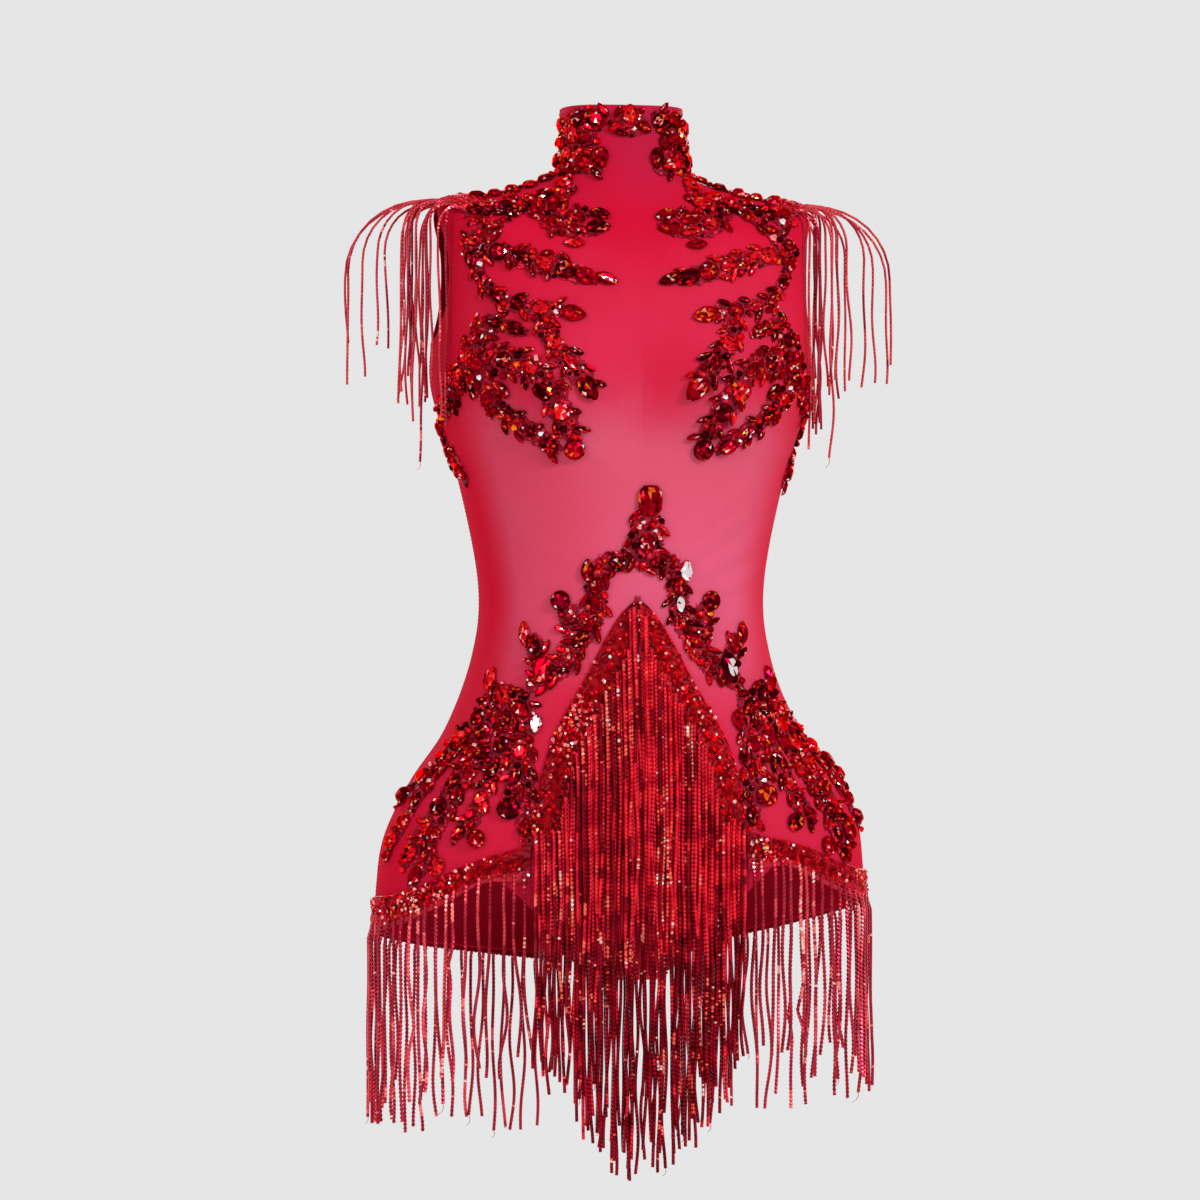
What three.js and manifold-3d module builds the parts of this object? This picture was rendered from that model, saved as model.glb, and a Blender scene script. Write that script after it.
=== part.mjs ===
// Fringe dance bodysuit: a high-necked, sleeveless suit of red stretch mesh in its worn, hollow form.
// Millimetres, +Z up, the wearer faces -Y. The origin is the middle of the neck base, level with the
// shoulder seams at the neck, where the wearer's neck and shoulders hold the suit.
// Pieces: a front cut in one with the front of the collar, two backs that meet at the centre back,
// a crotch gusset, sprays of large stones, a bell-shaped fringe trim on the belly, a fringe trim round
// each leg hem and a fringed patch on each shoulder tip.
import * as THREE from "three";
import Module from "manifold-3d";
import { mergeVertices } from "three/addons/utils/BufferGeometryUtils.js";

const wasm = await Module();
wasm.setup();

// Cloth wall and the gap left where two pieces are sewn together
const CLOTH = 1.6;
const SEAM_GAP = 0.3;

// The body form under the cloth, from the collar to the crotch. front, side and back are the heights of a
// level at the centre front, the side and the centre back; half is half its width, fore and aft its depths.
const LEVELS = [
  { at: "collar top", front: 59, side: 61, back: 64, half: 47, fore: 46, aft: 48 },
  { at: "collar middle", front: 28, side: 34, back: 40, half: 48, fore: 46, aft: 49 },
  { at: "neck base", front: -3, side: 10, back: 18, half: 52, fore: 49, aft: 53 },
  { at: "neck curve", front: -23, side: 0, back: 4, half: 68, fore: 57, aft: 60 },
  { at: "shoulder middle", front: -44, side: -8, back: -14, half: 104, fore: 71, aft: 72 },
  { at: "shoulder tip", front: -66, side: -19, back: -36, half: 147, fore: 84, aft: 81 },
  { at: "upper armhole", front: -92, side: -54, back: -64, half: 150, fore: 92, aft: 86 },
  { at: "lower armhole", front: -120, side: -93, back: -96, half: 151, fore: 97, aft: 88 },
  { at: "underarm", front: -146, side: -128, back: -128, half: 151, fore: 99, aft: 88 },
  { at: "bust", front: -174, side: -166, back: -166, half: 150, fore: 98, aft: 85 },
  { at: "underbust", front: -235, side: -235, back: -235, half: 129, fore: 92, aft: 76 },
  { at: "waist", front: -318, side: -318, back: -318, half: 113, fore: 87, aft: 67 },
  { at: "high hip", front: -375, side: -375, back: -375, half: 118, fore: 93, aft: 80 },
  { at: "hip spring", front: -430, side: -430, back: -430, half: 139, fore: 100, aft: 104 },
  { at: "upper hip", front: -470, side: -470, back: -470, half: 168, fore: 104, aft: 124 },
  { at: "hip", front: -510, side: -510, back: -510, half: 188, fore: 104, aft: 135 },
  { at: "full hip", front: -548, side: -548, back: -548, half: 194, fore: 100, aft: 138 },
  { at: "leg top", front: -585, side: -585, back: -585, half: 195, fore: 89, aft: 132 },
  { at: "crotch rise", front: -612, side: -612, back: -612, half: 194, fore: 67, aft: 110 },
  { at: "crotch", front: -634, side: -634, back: -634, half: 190, fore: 30, aft: 62 },
];
const SHOULDER_LEVEL = 5;
const UNDERARM_LEVEL = 8;
const HIP_LEVEL = 14;
const FULLNESS = 0.13;

// Bust cups: two soft swells over the form, bridged by the stretch cloth
const CUP = { across: 70, height: -163, wide: 46, tall: 43, deep: 25 };

// The hips stand a little lower on the wearer's right, from the high hip down
const HIP_TILT = { slope: 0.045, from: -380, to: -500 };

// How far the armhole edge draws in from the side of the form, in degrees
const ARMHOLE = { front: 21, back: 22 };

// Leg hem height by angle round the form, in degrees from the centre front. It peaks over the thigh.
const LEG_HEM = [
  { round: 0, height: -622 },
  { round: 8.9, height: -621 },
  { round: 18, height: -589 },
  { round: 26.6, height: -559 },
  { round: 35.3, height: -537 },
  { round: 42, height: -547 },
  { round: 50, height: -558 },
  { round: 60, height: -569 },
  { round: 74, height: -578 },
  { round: 90, height: -581 },
  { round: 110, height: -592 },
  { round: 130, height: -603 },
  { round: 150, height: -612 },
  { round: 171, height: -621 },
  { round: 180, height: -622 },
];
const GUSSET = { corner: 8.9, drop: 15, waist: 25, rows: 8 };

const radians = THREE.MathUtils.degToRad;
const mix = THREE.MathUtils.lerp;

// Smooth value of one column of a table at a fractional row number
function columnAt(table, column, row) {
  const last = table.length - 1;
  const low = Math.min(Math.max(Math.floor(row), 0), last - 1);
  const t = row - low;
  const near = (k) => table[Math.min(Math.max(k, 0), last)][column];
  const [a, b, c, d] = [near(low - 1), near(low), near(low + 1), near(low + 2)];
  return b + 0.5 * t * (c - a + t * (2 * a - 5 * b + 4 * c - d + t * (3 * (b - c) + d - a)));
}

// Straight-line value of a table at a position given by another of its columns
function valueAt(table, key, column, position) {
  const last = table.length - 1;
  let row = 0;
  while (row < last - 1 && position > table[row + 1][key]) row++;
  const [from, to] = [table[row], table[row + 1]];
  const t = (position - from[key]) / (to[key] - from[key]);
  return mix(from[column], to[column], Math.min(Math.max(t, 0), 1));
}

const hemHeight = (round) => valueAt(LEG_HEM, "round", "height", Math.abs(round) / radians(1));

// A point of the body form. round is the angle from the centre front, positive towards +X.
function formPoint(round, level) {
  const [s, c] = [Math.sin(round), Math.cos(round)];
  const ahead = c >= 0;
  const middle = columnAt(LEVELS, ahead ? "front" : "back", level);
  const depth = columnAt(LEVELS, ahead ? "fore" : "aft", level);
  const x = columnAt(LEVELS, "half", level) * s;
  let y = -depth * c * (1 + FULLNESS * s * s);
  let z = middle + (columnAt(LEVELS, "side", level) - middle) * s * s;
  if (ahead) {
    const off = (Math.abs(x) - CUP.across) / CUP.wide;
    const up = (z - CUP.height) / CUP.tall;
    y -= CUP.deep * Math.exp(-off * off - up * up) * Math.min(1, c * 3);
  }
  z += HIP_TILT.slope * x * THREE.MathUtils.smoothstep(-z, -HIP_TILT.from, -HIP_TILT.to);
  return new THREE.Vector3(x, y, z);
}

// Directions of the form at a point: across (per radian), down (per level) and outward (a unit vector)
function formFrame(round, level) {
  const [turn, step] = [0.004, 0.02];
  const across = formPoint(round + turn, level).sub(formPoint(round - turn, level)).divideScalar(2 * turn);
  const down = formPoint(round, level + step).sub(formPoint(round, level - step)).divideScalar(2 * step);
  const outward = new THREE.Vector3().crossVectors(down, across).normalize();
  return { across, down, outward };
}

// A point that lies a given distance outside the body form
function skin(round, level, out) {
  const { outward } = formFrame(round, level);
  const onSeam = Math.abs(Math.abs(round) - Math.PI / 2) < 1e-6;
  if (onSeam) outward.setY(0).normalize();
  if (Math.abs(Math.abs(round) - Math.PI) < 1e-6) outward.setX(0).normalize();
  return formPoint(round, level).addScaledVector(outward, out);
}

// The cloth panels that rays can land on, and how far off they start
const cloth = [];
const RAY = 30;

// A point a given distance outside the cloth panels themselves, or outside the form where there is none
function onCloth(round, level, out) {
  const { outward } = formFrame(round, level);
  const from = formPoint(round, level).addScaledVector(outward, RAY);
  const ray = new THREE.Raycaster(from, outward.clone().negate(), 0, 2 * RAY);
  const [hit] = ray.intersectObjects(cloth);
  if (!hit) return skin(round, level, CLOTH + out);
  return hit.point.clone().addScaledVector(outward, out);
}

// The level at which the form has a given height, below the armholes
function levelAtHeight(round, height) {
  let [low, high] = [UNDERARM_LEVEL, LEVELS.length - 1];
  for (let n = 0; n < 30; n++) {
    const middle = (low + high) / 2;
    if (formPoint(round, middle).z > height) low = middle;
    else high = middle;
  }
  return (low + high) / 2;
}

// Hem height with the tilt of the hips
function tiltedHeight(round, height) {
  const x = columnAt(LEVELS, "half", HIP_LEVEL + 2) * Math.sin(round);
  return height + HIP_TILT.slope * x;
}

// Angle and level of the point of the front that is seen at x, z from straight ahead
function onFront(x, z) {
  let low = 0;
  let high = LEVELS.length - 1;
  const angle = (level) => Math.asin(THREE.MathUtils.clamp(x / columnAt(LEVELS, "half", level), -1, 1));
  for (let n = 0; n < 30; n++) {
    const level = (low + high) / 2;
    const tooNarrow = level < SHOULDER_LEVEL && Math.abs(x) > columnAt(LEVELS, "half", level);
    if (tooNarrow || formPoint(angle(level), level).z > z) low = level;
    else high = level;
  }
  const level = (low + high) / 2;
  return { round: angle(level), level };
}

// A closed wall between two grids of points, outer and inner, each a list of rows
function wallGeometry(outer, inner) {
  const [rows, columns] = [outer.length, outer[0].length];
  const positions = [...outer.flat(), ...inner.flat()].flatMap((p) => [p.x, p.y, p.z]);
  const faces = [];
  const at = (side, i, j) => side * rows * columns + i * columns + j;
  const quad = (a, b, c, d) => faces.push(a, b, c, a, c, d);
  for (let i = 0; i < rows - 1; i++) {
    for (let j = 0; j < columns - 1; j++) {
      const mirrored = outer[i][j].x + outer[i][j + 1].x < -1e-3;
      for (const side of [0, 1]) {
        const ring = [at(side, i, j), at(side, i + 1, j), at(side, i + 1, j + 1), at(side, i, j + 1)];
        if (side === 1) ring.reverse();
        if (mirrored !== (side === 1)) ring.push(ring.shift());
        quad(...ring);
      }
    }
  }
  for (let i = 0; i < rows - 1; i++) {
    const last = columns - 1;
    quad(at(0, i, 0), at(1, i, 0), at(1, i + 1, 0), at(0, i + 1, 0));
    quad(at(0, i, last), at(0, i + 1, last), at(1, i + 1, last), at(1, i, last));
  }
  for (let j = 0; j < columns - 1; j++) {
    const last = rows - 1;
    quad(at(0, 0, j), at(0, 0, j + 1), at(1, 0, j + 1), at(1, 0, j));
    quad(at(0, last, j), at(1, last, j), at(1, last, j + 1), at(0, last, j + 1));
  }
  const geometry = new THREE.BufferGeometry();
  geometry.setAttribute("position", new THREE.Float32BufferAttribute(positions, 3));
  geometry.setIndex(faces);
  return geometry;
}

// A geometry as a solid, with its doubled points merged
function solidOf(geometry) {
  const bare = new THREE.BufferGeometry();
  bare.setAttribute("position", geometry.getAttribute("position"));
  bare.setIndex(geometry.index);
  const merged = mergeVertices(bare, 1e-4);
  const vertProperties = new Float32Array(merged.attributes.position.array);
  const triVerts = new Uint32Array(merged.index.array);
  return new wasm.Manifold(new wasm.Mesh({ numProp: 3, vertProperties, triVerts }));
}

// All the solids of one node as one body, with slivers left by the joins taken out
function joined(geometries) {
  const body = wasm.Manifold.union(geometries.map(solidOf)).simplify(0.12);
  const { numProp, vertProperties, triVerts, numVert } = body.getMesh();
  const positions = new Float32Array(numVert * 3);
  for (let i = 0; i < numVert; i++) {
    positions.set(vertProperties.subarray(i * numProp, i * numProp + 3), i * 3);
  }
  const geometry = new THREE.BufferGeometry();
  geometry.setAttribute("position", new THREE.BufferAttribute(positions, 3));
  geometry.setIndex(new THREE.BufferAttribute(triVerts, 1));
  return geometry;
}

// Rows of a panel: fixed levels down to the upper hip, then even steps down to the leg hem
const PANEL_LEVELS = [0, 1, 1.7, 2.4, 3.1, 3.8, 4.5, 5, 5.25, 5.7, 6.3, 6.9, 7.5, 8];
const BODY_LEVELS = [8.5, 9, 9.35, 9.7, 10, 10.5, 11, 11.5, 12, 13, 14];
const HEM_STEPS = [0.25, 0.5, 0.75, 1];

// Share of the way from the centre to the panel's side edge at each column of half a panel
const FRONT_COLUMNS = [0, 0.05, 0.099, 0.2, 0.296, 0.392, 0.467, 0.556, 0.667, 0.822, 1];
const BACK_COLUMNS = [0, 0.2, 0.4, 0.6, 0.75, 0.9, 1];

// Angle of a panel's side edge at a level, drawn in along the armhole
function armholeEdge(level, draw) {
  const t = (level - SHOULDER_LEVEL) / (UNDERARM_LEVEL - SHOULDER_LEVEL);
  if (t <= 0 || t >= 1) return Math.PI / 2;
  return Math.PI / 2 - radians(draw) * Math.sqrt(1 - (2 * t - 1) ** 2);
}

// Angles and levels of a panel's grid. edgeAt turns a level and a column share into an angle.
function panelGrid(shares, angleAt) {
  const rows = [...PANEL_LEVELS, ...BODY_LEVELS].map((level) =>
    shares.map((share) => ({ round: angleAt(level, share), level })),
  );
  for (const step of HEM_STEPS) {
    rows.push(
      shares.map((share) => {
        const round = angleAt(HIP_LEVEL, share);
        const top = formPoint(round, HIP_LEVEL).z;
        const height = mix(top, tiltedHeight(round, hemHeight(round)), step);
        return { round, level: levelAtHeight(round, height) };
      }),
    );
  }
  return rows;
}

// The points of a grid at a distance outside the form
const gridPoints = (grid, out) => grid.map((row) => row.map((p) => skin(p.round, p.level, out)));

// The front, cut in one with the front of the collar
function frontPanel() {
  const shares = [...FRONT_COLUMNS.slice(1).reverse().map((s) => -s), ...FRONT_COLUMNS];
  const grid = panelGrid(shares, (level, share) => share * armholeEdge(level, ARMHOLE.front));
  const sides = [gridPoints(grid, CLOTH), gridPoints(grid, 0)];
  for (const side of sides) {
    side.forEach((row, i) => {
      const open = PANEL_LEVELS[i] > SHOULDER_LEVEL && PANEL_LEVELS[i] < UNDERARM_LEVEL;
      if (!open) [row[0], row.at(-1)].forEach((p) => p.setY(-SEAM_GAP / 2));
    });
  }
  return wallGeometry(...sides);
}

// One back panel. hand is +1 on the wearer's left and -1 on the right.
function backPanel(hand) {
  const grid = panelGrid(BACK_COLUMNS, (level, share) => {
    const edge = Math.PI - armholeEdge(level, ARMHOLE.back);
    return mix(edge, Math.PI, share);
  });
  const mirror = (p) => (hand > 0 ? p : { round: -p.round, level: p.level });
  const ordered = grid.map((row, i) => {
    const cells = row.map(mirror);
    if (hand < 0) cells.reverse();
    return cells.map((p) => tiltedCell(p, i));
  });
  const sides = [gridPoints(ordered, CLOTH), gridPoints(ordered, 0)];
  for (const side of sides) {
    side.forEach((row, i) => {
      const [centre, seam] = hand > 0 ? [row.at(-1), row[0]] : [row[0], row.at(-1)];
      const open = PANEL_LEVELS[i] > SHOULDER_LEVEL && PANEL_LEVELS[i] < UNDERARM_LEVEL;
      centre.setX((hand * SEAM_GAP) / 2);
      if (!open) seam.setY(SEAM_GAP / 2);
    });
  }
  return wallGeometry(...sides);
}

// A mirrored hem cell needs its own level, because the hips tilt the other way there
function tiltedCell(cell, row) {
  const hemRow = row - PANEL_LEVELS.length - BODY_LEVELS.length;
  if (hemRow < 0) return cell;
  const top = formPoint(cell.round, HIP_LEVEL).z;
  const height = mix(top, tiltedHeight(cell.round, hemHeight(cell.round)), HEM_STEPS[hemRow]);
  return { round: cell.round, level: levelAtHeight(cell.round, height) };
}

// The gusset runs under the crotch from the front's lower edge to the backs' lower edge
function gusset() {
  const corner = radians(GUSSET.corner);
  const ends = [0, Math.PI].map((round) => {
    const level = levelAtHeight(round, hemHeight(round));
    const { down } = formFrame(round, level);
    return { at: formPoint(round, level), way: down.setX(0).normalize() };
  });
  const halfAt = (round) => Math.abs(formPoint(round, levelAtHeight(round, hemHeight(round))).x);
  const halves = [halfAt(corner), halfAt(Math.PI - corner)];
  const [front, back] = ends;
  const start = front.at.clone().addScaledVector(front.way, SEAM_GAP);
  const end = back.at.clone().addScaledVector(back.way, SEAM_GAP);
  const reach = start.distanceTo(end) * 0.3;
  const curve = new THREE.CubicBezierCurve3(
    start,
    start.clone().addScaledVector(front.way, reach).setZ(start.z - GUSSET.drop),
    end.clone().addScaledVector(back.way, reach).setZ(end.z - GUSSET.drop),
    end,
  );
  const grids = [CLOTH, 0].map((out) => {
    const rows = [];
    for (let i = 0; i <= GUSSET.rows; i++) {
      const t = i / GUSSET.rows;
      const at = curve.getPoint(t);
      const along = curve.getTangent(t);
      const outward = new THREE.Vector3(0, along.z, -along.y);
      const half = mix(mix(halves[0], halves[1], t), GUSSET.waist, Math.sin(Math.PI * t));
      const point = (share) => at.clone().setX(share * half).addScaledVector(outward, out);
      rows.push([-1, -0.33, 0.33, 1].map(point));
    }
    return rows;
  });
  return wallGeometry(...grids);
}

// Trim bands lie on the cloth: clear is the space under them
const BAND = { clear: 0.8, thick: 1.4, wide: 21 };

// Upper edge of the bell-shaped trim on the belly, seen from ahead, for the +X half
const BELL = [
  { x: -2, z: -327 },
  { x: 13, z: -340 },
  { x: 27, z: -364 },
  { x: 44, z: -398 },
  { x: 60, z: -424 },
  { x: 72, z: -450 },
  { x: 79, z: -480 },
  { x: 84, z: -507 },
];

// Upper edge of the hem trim, from the foot of the bell to the side
const HEM_TRIM = [
  { round: 26, height: -512 },
  { round: 31, height: -519 },
  { round: 38, height: -524 },
  { round: 46, height: -532 },
  { round: 56, height: -544 },
  { round: 70, height: -553 },
  { round: 90, height: -557 },
];
const BACK_TRIM = { until: 166, wide: 24 };
const BELL_MITRE = 12;

// Strands: three-sided, with their roots sunk in the band
const STRAND = { radius: 1.5, root: 0.9 };
const APRON = { spacing: 7, layers: 2, reach: 80, inner: 3, first: 4.6, apart: 4.6, high: -405 };
const APRON_ROOT = { below: 9, deeper: 4 };
const BELLY_FULLEST = -478;
const APRON_FOOT = { height: -764, rise: 78, power: 1.7, half: 82, uneven: 14 };
const HEM_FRINGE = { from: 27.5, front: 8.4, back: 17, length: 156, uneven: 9, stand: 2.6 };

// How far below its root a strand has come clear of the band
const CLEAR_OF_BAND = 12;

// A repeatable value from -1 to 1 for the n-th strand, which makes the ends uneven
const unevenness = (n) => 2 * (Math.abs(Math.sin(n * 12.9898 + 4.1) * 43758.5453) % 1) - 1;

// A thin strand along a list of points. lean is a direction that the strand never runs in.
function strandGeometry(points, lean) {
  const corners = 3;
  const rings = points.map((at, i) => {
    const way = points[Math.min(i + 1, points.length - 1)].clone().sub(points[Math.max(i - 1, 0)]);
    const u = lean.clone().projectOnPlane(way.normalize()).normalize();
    const w = new THREE.Vector3().crossVectors(way, u);
    return Array.from({ length: corners }, (_, k) => {
      const angle = (2 * Math.PI * k) / corners;
      const out = u.clone().multiplyScalar(Math.cos(angle)).addScaledVector(w, Math.sin(angle));
      return at.clone().addScaledVector(out, STRAND.radius);
    });
  });
  const positions = rings.flat().flatMap((p) => [p.x, p.y, p.z]);
  const faces = [];
  for (let i = 0; i < rings.length - 1; i++) {
    for (let k = 0; k < corners; k++) {
      const [a, b] = [i * corners + k, i * corners + ((k + 1) % corners)];
      faces.push(a, b, b + corners, a, b + corners, a + corners);
    }
  }
  const end = (rings.length - 1) * corners;
  faces.push(0, 2, 1, end, end + 1, end + 2);
  const geometry = new THREE.BufferGeometry();
  geometry.setAttribute("position", new THREE.Float32BufferAttribute(positions, 3));
  geometry.setIndex(faces);
  return geometry;
}

// A flat band between two edges, each a list of places on the form
function bandGeometry(upper, lower) {
  const across = upper.map((top, i) => {
    const low = lower[i];
    const middle = { round: (top.round + low.round) / 2, level: (top.level + low.level) / 2 };
    return [top, middle, low];
  });
  const layer = (out) => across.map((row) => row.map((p) => onCloth(p.round, p.level, out)));
  const [outer, inner] = [layer(BAND.clear + BAND.thick), layer(BAND.clear)];
  const direct = outer[1][0].clone().sub(outer[0][0]).cross(outer[0][2].clone().sub(outer[0][0]));
  const { outward } = formFrame(across[0][1].round, across[0][1].level);
  const flipped = direct.dot(outward) > 0 ? 1 : -1;
  if (flipped < 0) [outer, inner].forEach((side) => side.reverse());
  return wallGeometry(outer, inner);
}

// Height of the upper edge of the bell-shaped band at a distance x from the centre
const bellHeight = (x) => valueAt(BELL, "x", "z", x);

// The foremost reach of the cloth over a strand that hangs at x, between two heights
function foremost(x, from, to) {
  const reach = (z) => {
    const { round, level } = onFront(x, z);
    return formPoint(round, level).y;
  };
  let y = reach(from);
  for (let z = from; z >= to; z -= CLEAR_OF_BAND) y = Math.min(y, reach(z));
  return y;
}

// Bell-shaped trim and its curtain of strands on one half of the belly
function apronHalf(hand) {
  const upper = [];
  const lower = [];
  BELL.forEach((at, i) => {
    const [from, to] = [BELL[Math.max(i - 1, 0)], BELL[Math.min(i + 1, BELL.length - 1)]];
    const way = new THREE.Vector2(to.x - from.x, to.z - from.z).normalize();
    const low = { x: Math.max(at.x + way.y * BAND.wide, BELL[0].x), z: at.z - way.x * BAND.wide };
    if (i === 0) low.z -= BELL_MITRE;
    upper.push(onFront(hand * at.x, tiltedFrontHeight(hand * at.x, at.z)));
    lower.push(onFront(hand * low.x, tiltedFrontHeight(hand * low.x, low.z)));
  });
  const pieces = [bandGeometry(upper, lower)];
  let count = 0;
  for (let layer = 0; layer < APRON.layers; layer++) {
    const shift = (APRON.spacing * layer) / APRON.layers;
    for (let x = APRON.inner + shift; x < APRON.reach; x += APRON.spacing) {
      const rootHeight = tiltedFrontHeight(hand * x, bellHeight(x) - APRON_ROOT.below - APRON_ROOT.deeper * layer);
      const foot = apronFoot(x) + APRON_FOOT.uneven * unevenness(++count + 50 * hand);
      pieces.push(apronStrand(hand * x, rootHeight, foot, APRON.first + APRON.apart * layer));
    }
  }
  return pieces;
}

// Height at which the apron's strands end, lowest at the centre
function apronFoot(x) {
  const aside = Math.abs(x) / APRON_FOOT.half;
  return APRON_FOOT.height + APRON_FOOT.rise * aside ** APRON_FOOT.power;
}

// A height on the front with the tilt of the hips
function tiltedFrontHeight(x, z) {
  return z + HIP_TILT.slope * x * THREE.MathUtils.smoothstep(-z, -HIP_TILT.from, -HIP_TILT.to);
}

// A strand that lies over the belly and then hangs plumb, off the cloth by a set distance
function apronStrand(x, rootHeight, foot, off) {
  const { round, level } = onFront(x, rootHeight);
  const points = [onCloth(round, level, BAND.clear + STRAND.root)];
  const high = rootHeight > APRON.high;
  const clear = rootHeight - CLEAR_OF_BAND;
  const stops = high ? [clear, BELLY_FULLEST, foot] : [clear, foot];
  for (const z of stops) {
    const down = high ? Math.max(z, BELLY_FULLEST) : BELLY_FULLEST;
    points.push(new THREE.Vector3(x, foremost(x, rootHeight, down) - CLOTH - off, z));
  }
  return strandGeometry(points, new THREE.Vector3(1, 0, 0));
}

// Hem trim round one leg, from the foot of the bell past the side to the back, with its strands
function hemFringe(hand) {
  const trimTop = (round) => {
    const degrees = round / radians(1);
    if (degrees <= 90) return valueAt(HEM_TRIM, "round", "height", degrees);
    return hemHeight(round) + BACK_TRIM.wide;
  };
  const place = (round, height) => {
    const angle = hand * round;
    return { round: angle, level: levelAtHeight(angle, tiltedHeight(angle, height)) };
  };
  const columns = [
    ...FRONT_COLUMNS.map((share) => 90 * share - 0.4 * (share === 1)),
    ...BACK_COLUMNS.map((share) => 90 + 90 * share + 0.4 * (share === 0)),
  ];
  const within = columns.filter((round) => round > HEM_TRIM[0].round + 0.5 && round < BACK_TRIM.until);
  const rounds = [HEM_TRIM[0].round, ...within, BACK_TRIM.until].map(radians);
  const lowEdge = (round) => Math.min(hemHeight(Math.max(round, radians(35.3))) + 2, trimTop(round) - 16);
  const upper = rounds.map((round) => place(round, trimTop(round)));
  const lower = rounds.map((round) => place(round, lowEdge(round)));
  const pieces = [bandGeometry(upper, lower)];
  let count = 0;
  let round = radians(HEM_FRINGE.from);
  while (round < radians(BACK_TRIM.until - 1.5)) {
    const { level } = place(round, lowEdge(round) + 4);
    const angle = hand * round;
    const { outward, across } = formFrame(angle, level);
    const root = onCloth(angle, level, BAND.clear + STRAND.root);
    const flat = outward.clone().setZ(0).normalize();
    const hung = root.clone().addScaledVector(flat, HEM_FRINGE.stand);
    const length = HEM_FRINGE.length + HEM_FRINGE.uneven * unevenness(++count + 80 * hand);
    const sway = new THREE.Vector3().crossVectors(flat, new THREE.Vector3(0, 0, 1));
    const points = [CLEAR_OF_BAND, length].map((drop) => hung.clone().setZ(root.z - drop));
    pieces.push(strandGeometry([root, ...points], sway));
    const spacing = round < radians(95) ? HEM_FRINGE.front : HEM_FRINGE.back;
    round += spacing / across.length();
  }
  return joined(pieces);
}

// Shoulder patch: a strip across the tip of the shoulder, seen in levels and in degrees round the form
const PATCH = { columns: [62, 74, 89.6, 90.4, 108, 118], top: 4.52, bottom: 4.97 };

// Strands of one shoulder: where each is rooted round the form, how far out it falls and its length.
// They lie as they do over the shoulder of the wearer.
const SHOULDER_STRANDS = [
  { round: 64, reach: 20, length: 196 },
  { round: 68, reach: 27, length: 222 },
  { round: 72, reach: 20, length: 168 },
  { round: 76, reach: 36, length: 205 },
  { round: 80, reach: 27, length: 190 },
  { round: 84, reach: 50, length: 186 },
  { round: 88, reach: 72, length: 212 },
  { round: 92, reach: 60, length: 196 },
  { round: 97, reach: 74, length: 204 },
  { round: 102, reach: 44, length: 178 },
  { round: 107, reach: 28, length: 192 },
  { round: 113, reach: 22, length: 170 },
];

// The arc in which they leave the shoulder: its drop, rise and drift, and the least straight length
const SHOULDER_ARC = { fall: 0.72, drop: 6, lift: 3, back: 0.16, slack: 1.2, straight: 40 };

// Shoulder patch with the strands that fall over the shoulder
function shoulderFringe(hand) {
  const columns = PATCH.columns.map((round) => hand * radians(round));
  const upper = columns.map((round) => ({ round, level: PATCH.top }));
  const lower = columns.map((round) => ({ round, level: PATCH.bottom }));
  const pieces = [bandGeometry(upper, lower)];
  for (const { round, reach, length } of SHOULDER_STRANDS) {
    const angle = hand * radians(round);
    const root = onCloth(angle, PATCH.bottom - 0.06, BAND.clear + STRAND.root);
    const fall = reach * SHOULDER_ARC.fall + SHOULDER_ARC.drop;
    const arc = [0.45, 1].map((t) => {
      const turn = (t * Math.PI) / 2;
      return new THREE.Vector3(
        root.x + hand * reach * Math.sin(turn),
        root.y * (1 + SHOULDER_ARC.back * t),
        root.z + SHOULDER_ARC.lift * Math.sin(2 * turn) - fall * (1 - Math.cos(turn)),
      );
    });
    const last = arc.at(-1);
    const spent = SHOULDER_ARC.slack * Math.hypot(reach, fall);
    const straight = Math.max(length - spent, SHOULDER_ARC.straight);
    const foot = last.clone().setZ(last.z - straight);
    pieces.push(strandGeometry([root, ...arc, foot], new THREE.Vector3(0, 1, 0)));
  }
  return joined(pieces);
}

// Stone sprays. Each branch is a strip of backing set with large stones. Its way is given by places x, z
// seen from ahead on the +X half, wide is its width at a stone and pitch the distance between stones.
const SPRAYS = {
  shoulder: [
    { via: [[25, 36], [40, 30], [47, 12]], wide: 12, pitch: 15 },
    { via: [[45, 24], [50, -4], [63, -28]], wide: 20, pitch: 18 },
    { via: [[45, 14], [32, 13], [18, 11]], wide: 14, pitch: 21 },
    { via: [[58, -16], [94, -20], [129, -30]], wide: 11, pitch: 16 },
    { via: [[80, -19], [52, -43], [19, -40]], wide: 14, pitch: 18 },
    { via: [[71, -17], [108, -41], [131, -56]], wide: 10, pitch: 18 },
    { via: [[131, -56], [92, -64], [31, -84]], wide: 15, pitch: 18 },
    { via: [[129, -58], [104, -98], [50, -110]], wide: 12, pitch: 18 },
    { via: [[74, -106], [68, -134], [38, -171]], wide: 14, pitch: 19 },
  ],
  bust: [
    { via: [[132, -148], [112, -118], [86, -126]], wide: 12, pitch: 17 },
    { via: [[132, -147], [86, -152], [48, -210]], wide: 17, pitch: 19 },
    { via: [[132, -149], [104, -184], [60, -215]], wide: 13, pitch: 18 },
    { via: [[131, -148], [143, -190], [124, -238]], wide: 14, pitch: 18 },
  ],
  hip: [
    { via: [[104, -398], [98, -408], [82, -420]], wide: 14, pitch: 15 },
    { via: [[103, -396], [124, -428], [180, -486]], wide: 16, pitch: 19 },
    { via: [[98, -406], [136, -462], [178, -530]], wide: 17, pitch: 20 },
    { via: [[92, -412], [110, -456], [133, -508]], wide: 14, pitch: 20 },
    { via: [[82, -418], [91, -450], [102, -493]], wide: 13, pitch: 19 },
  ],
};

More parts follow.
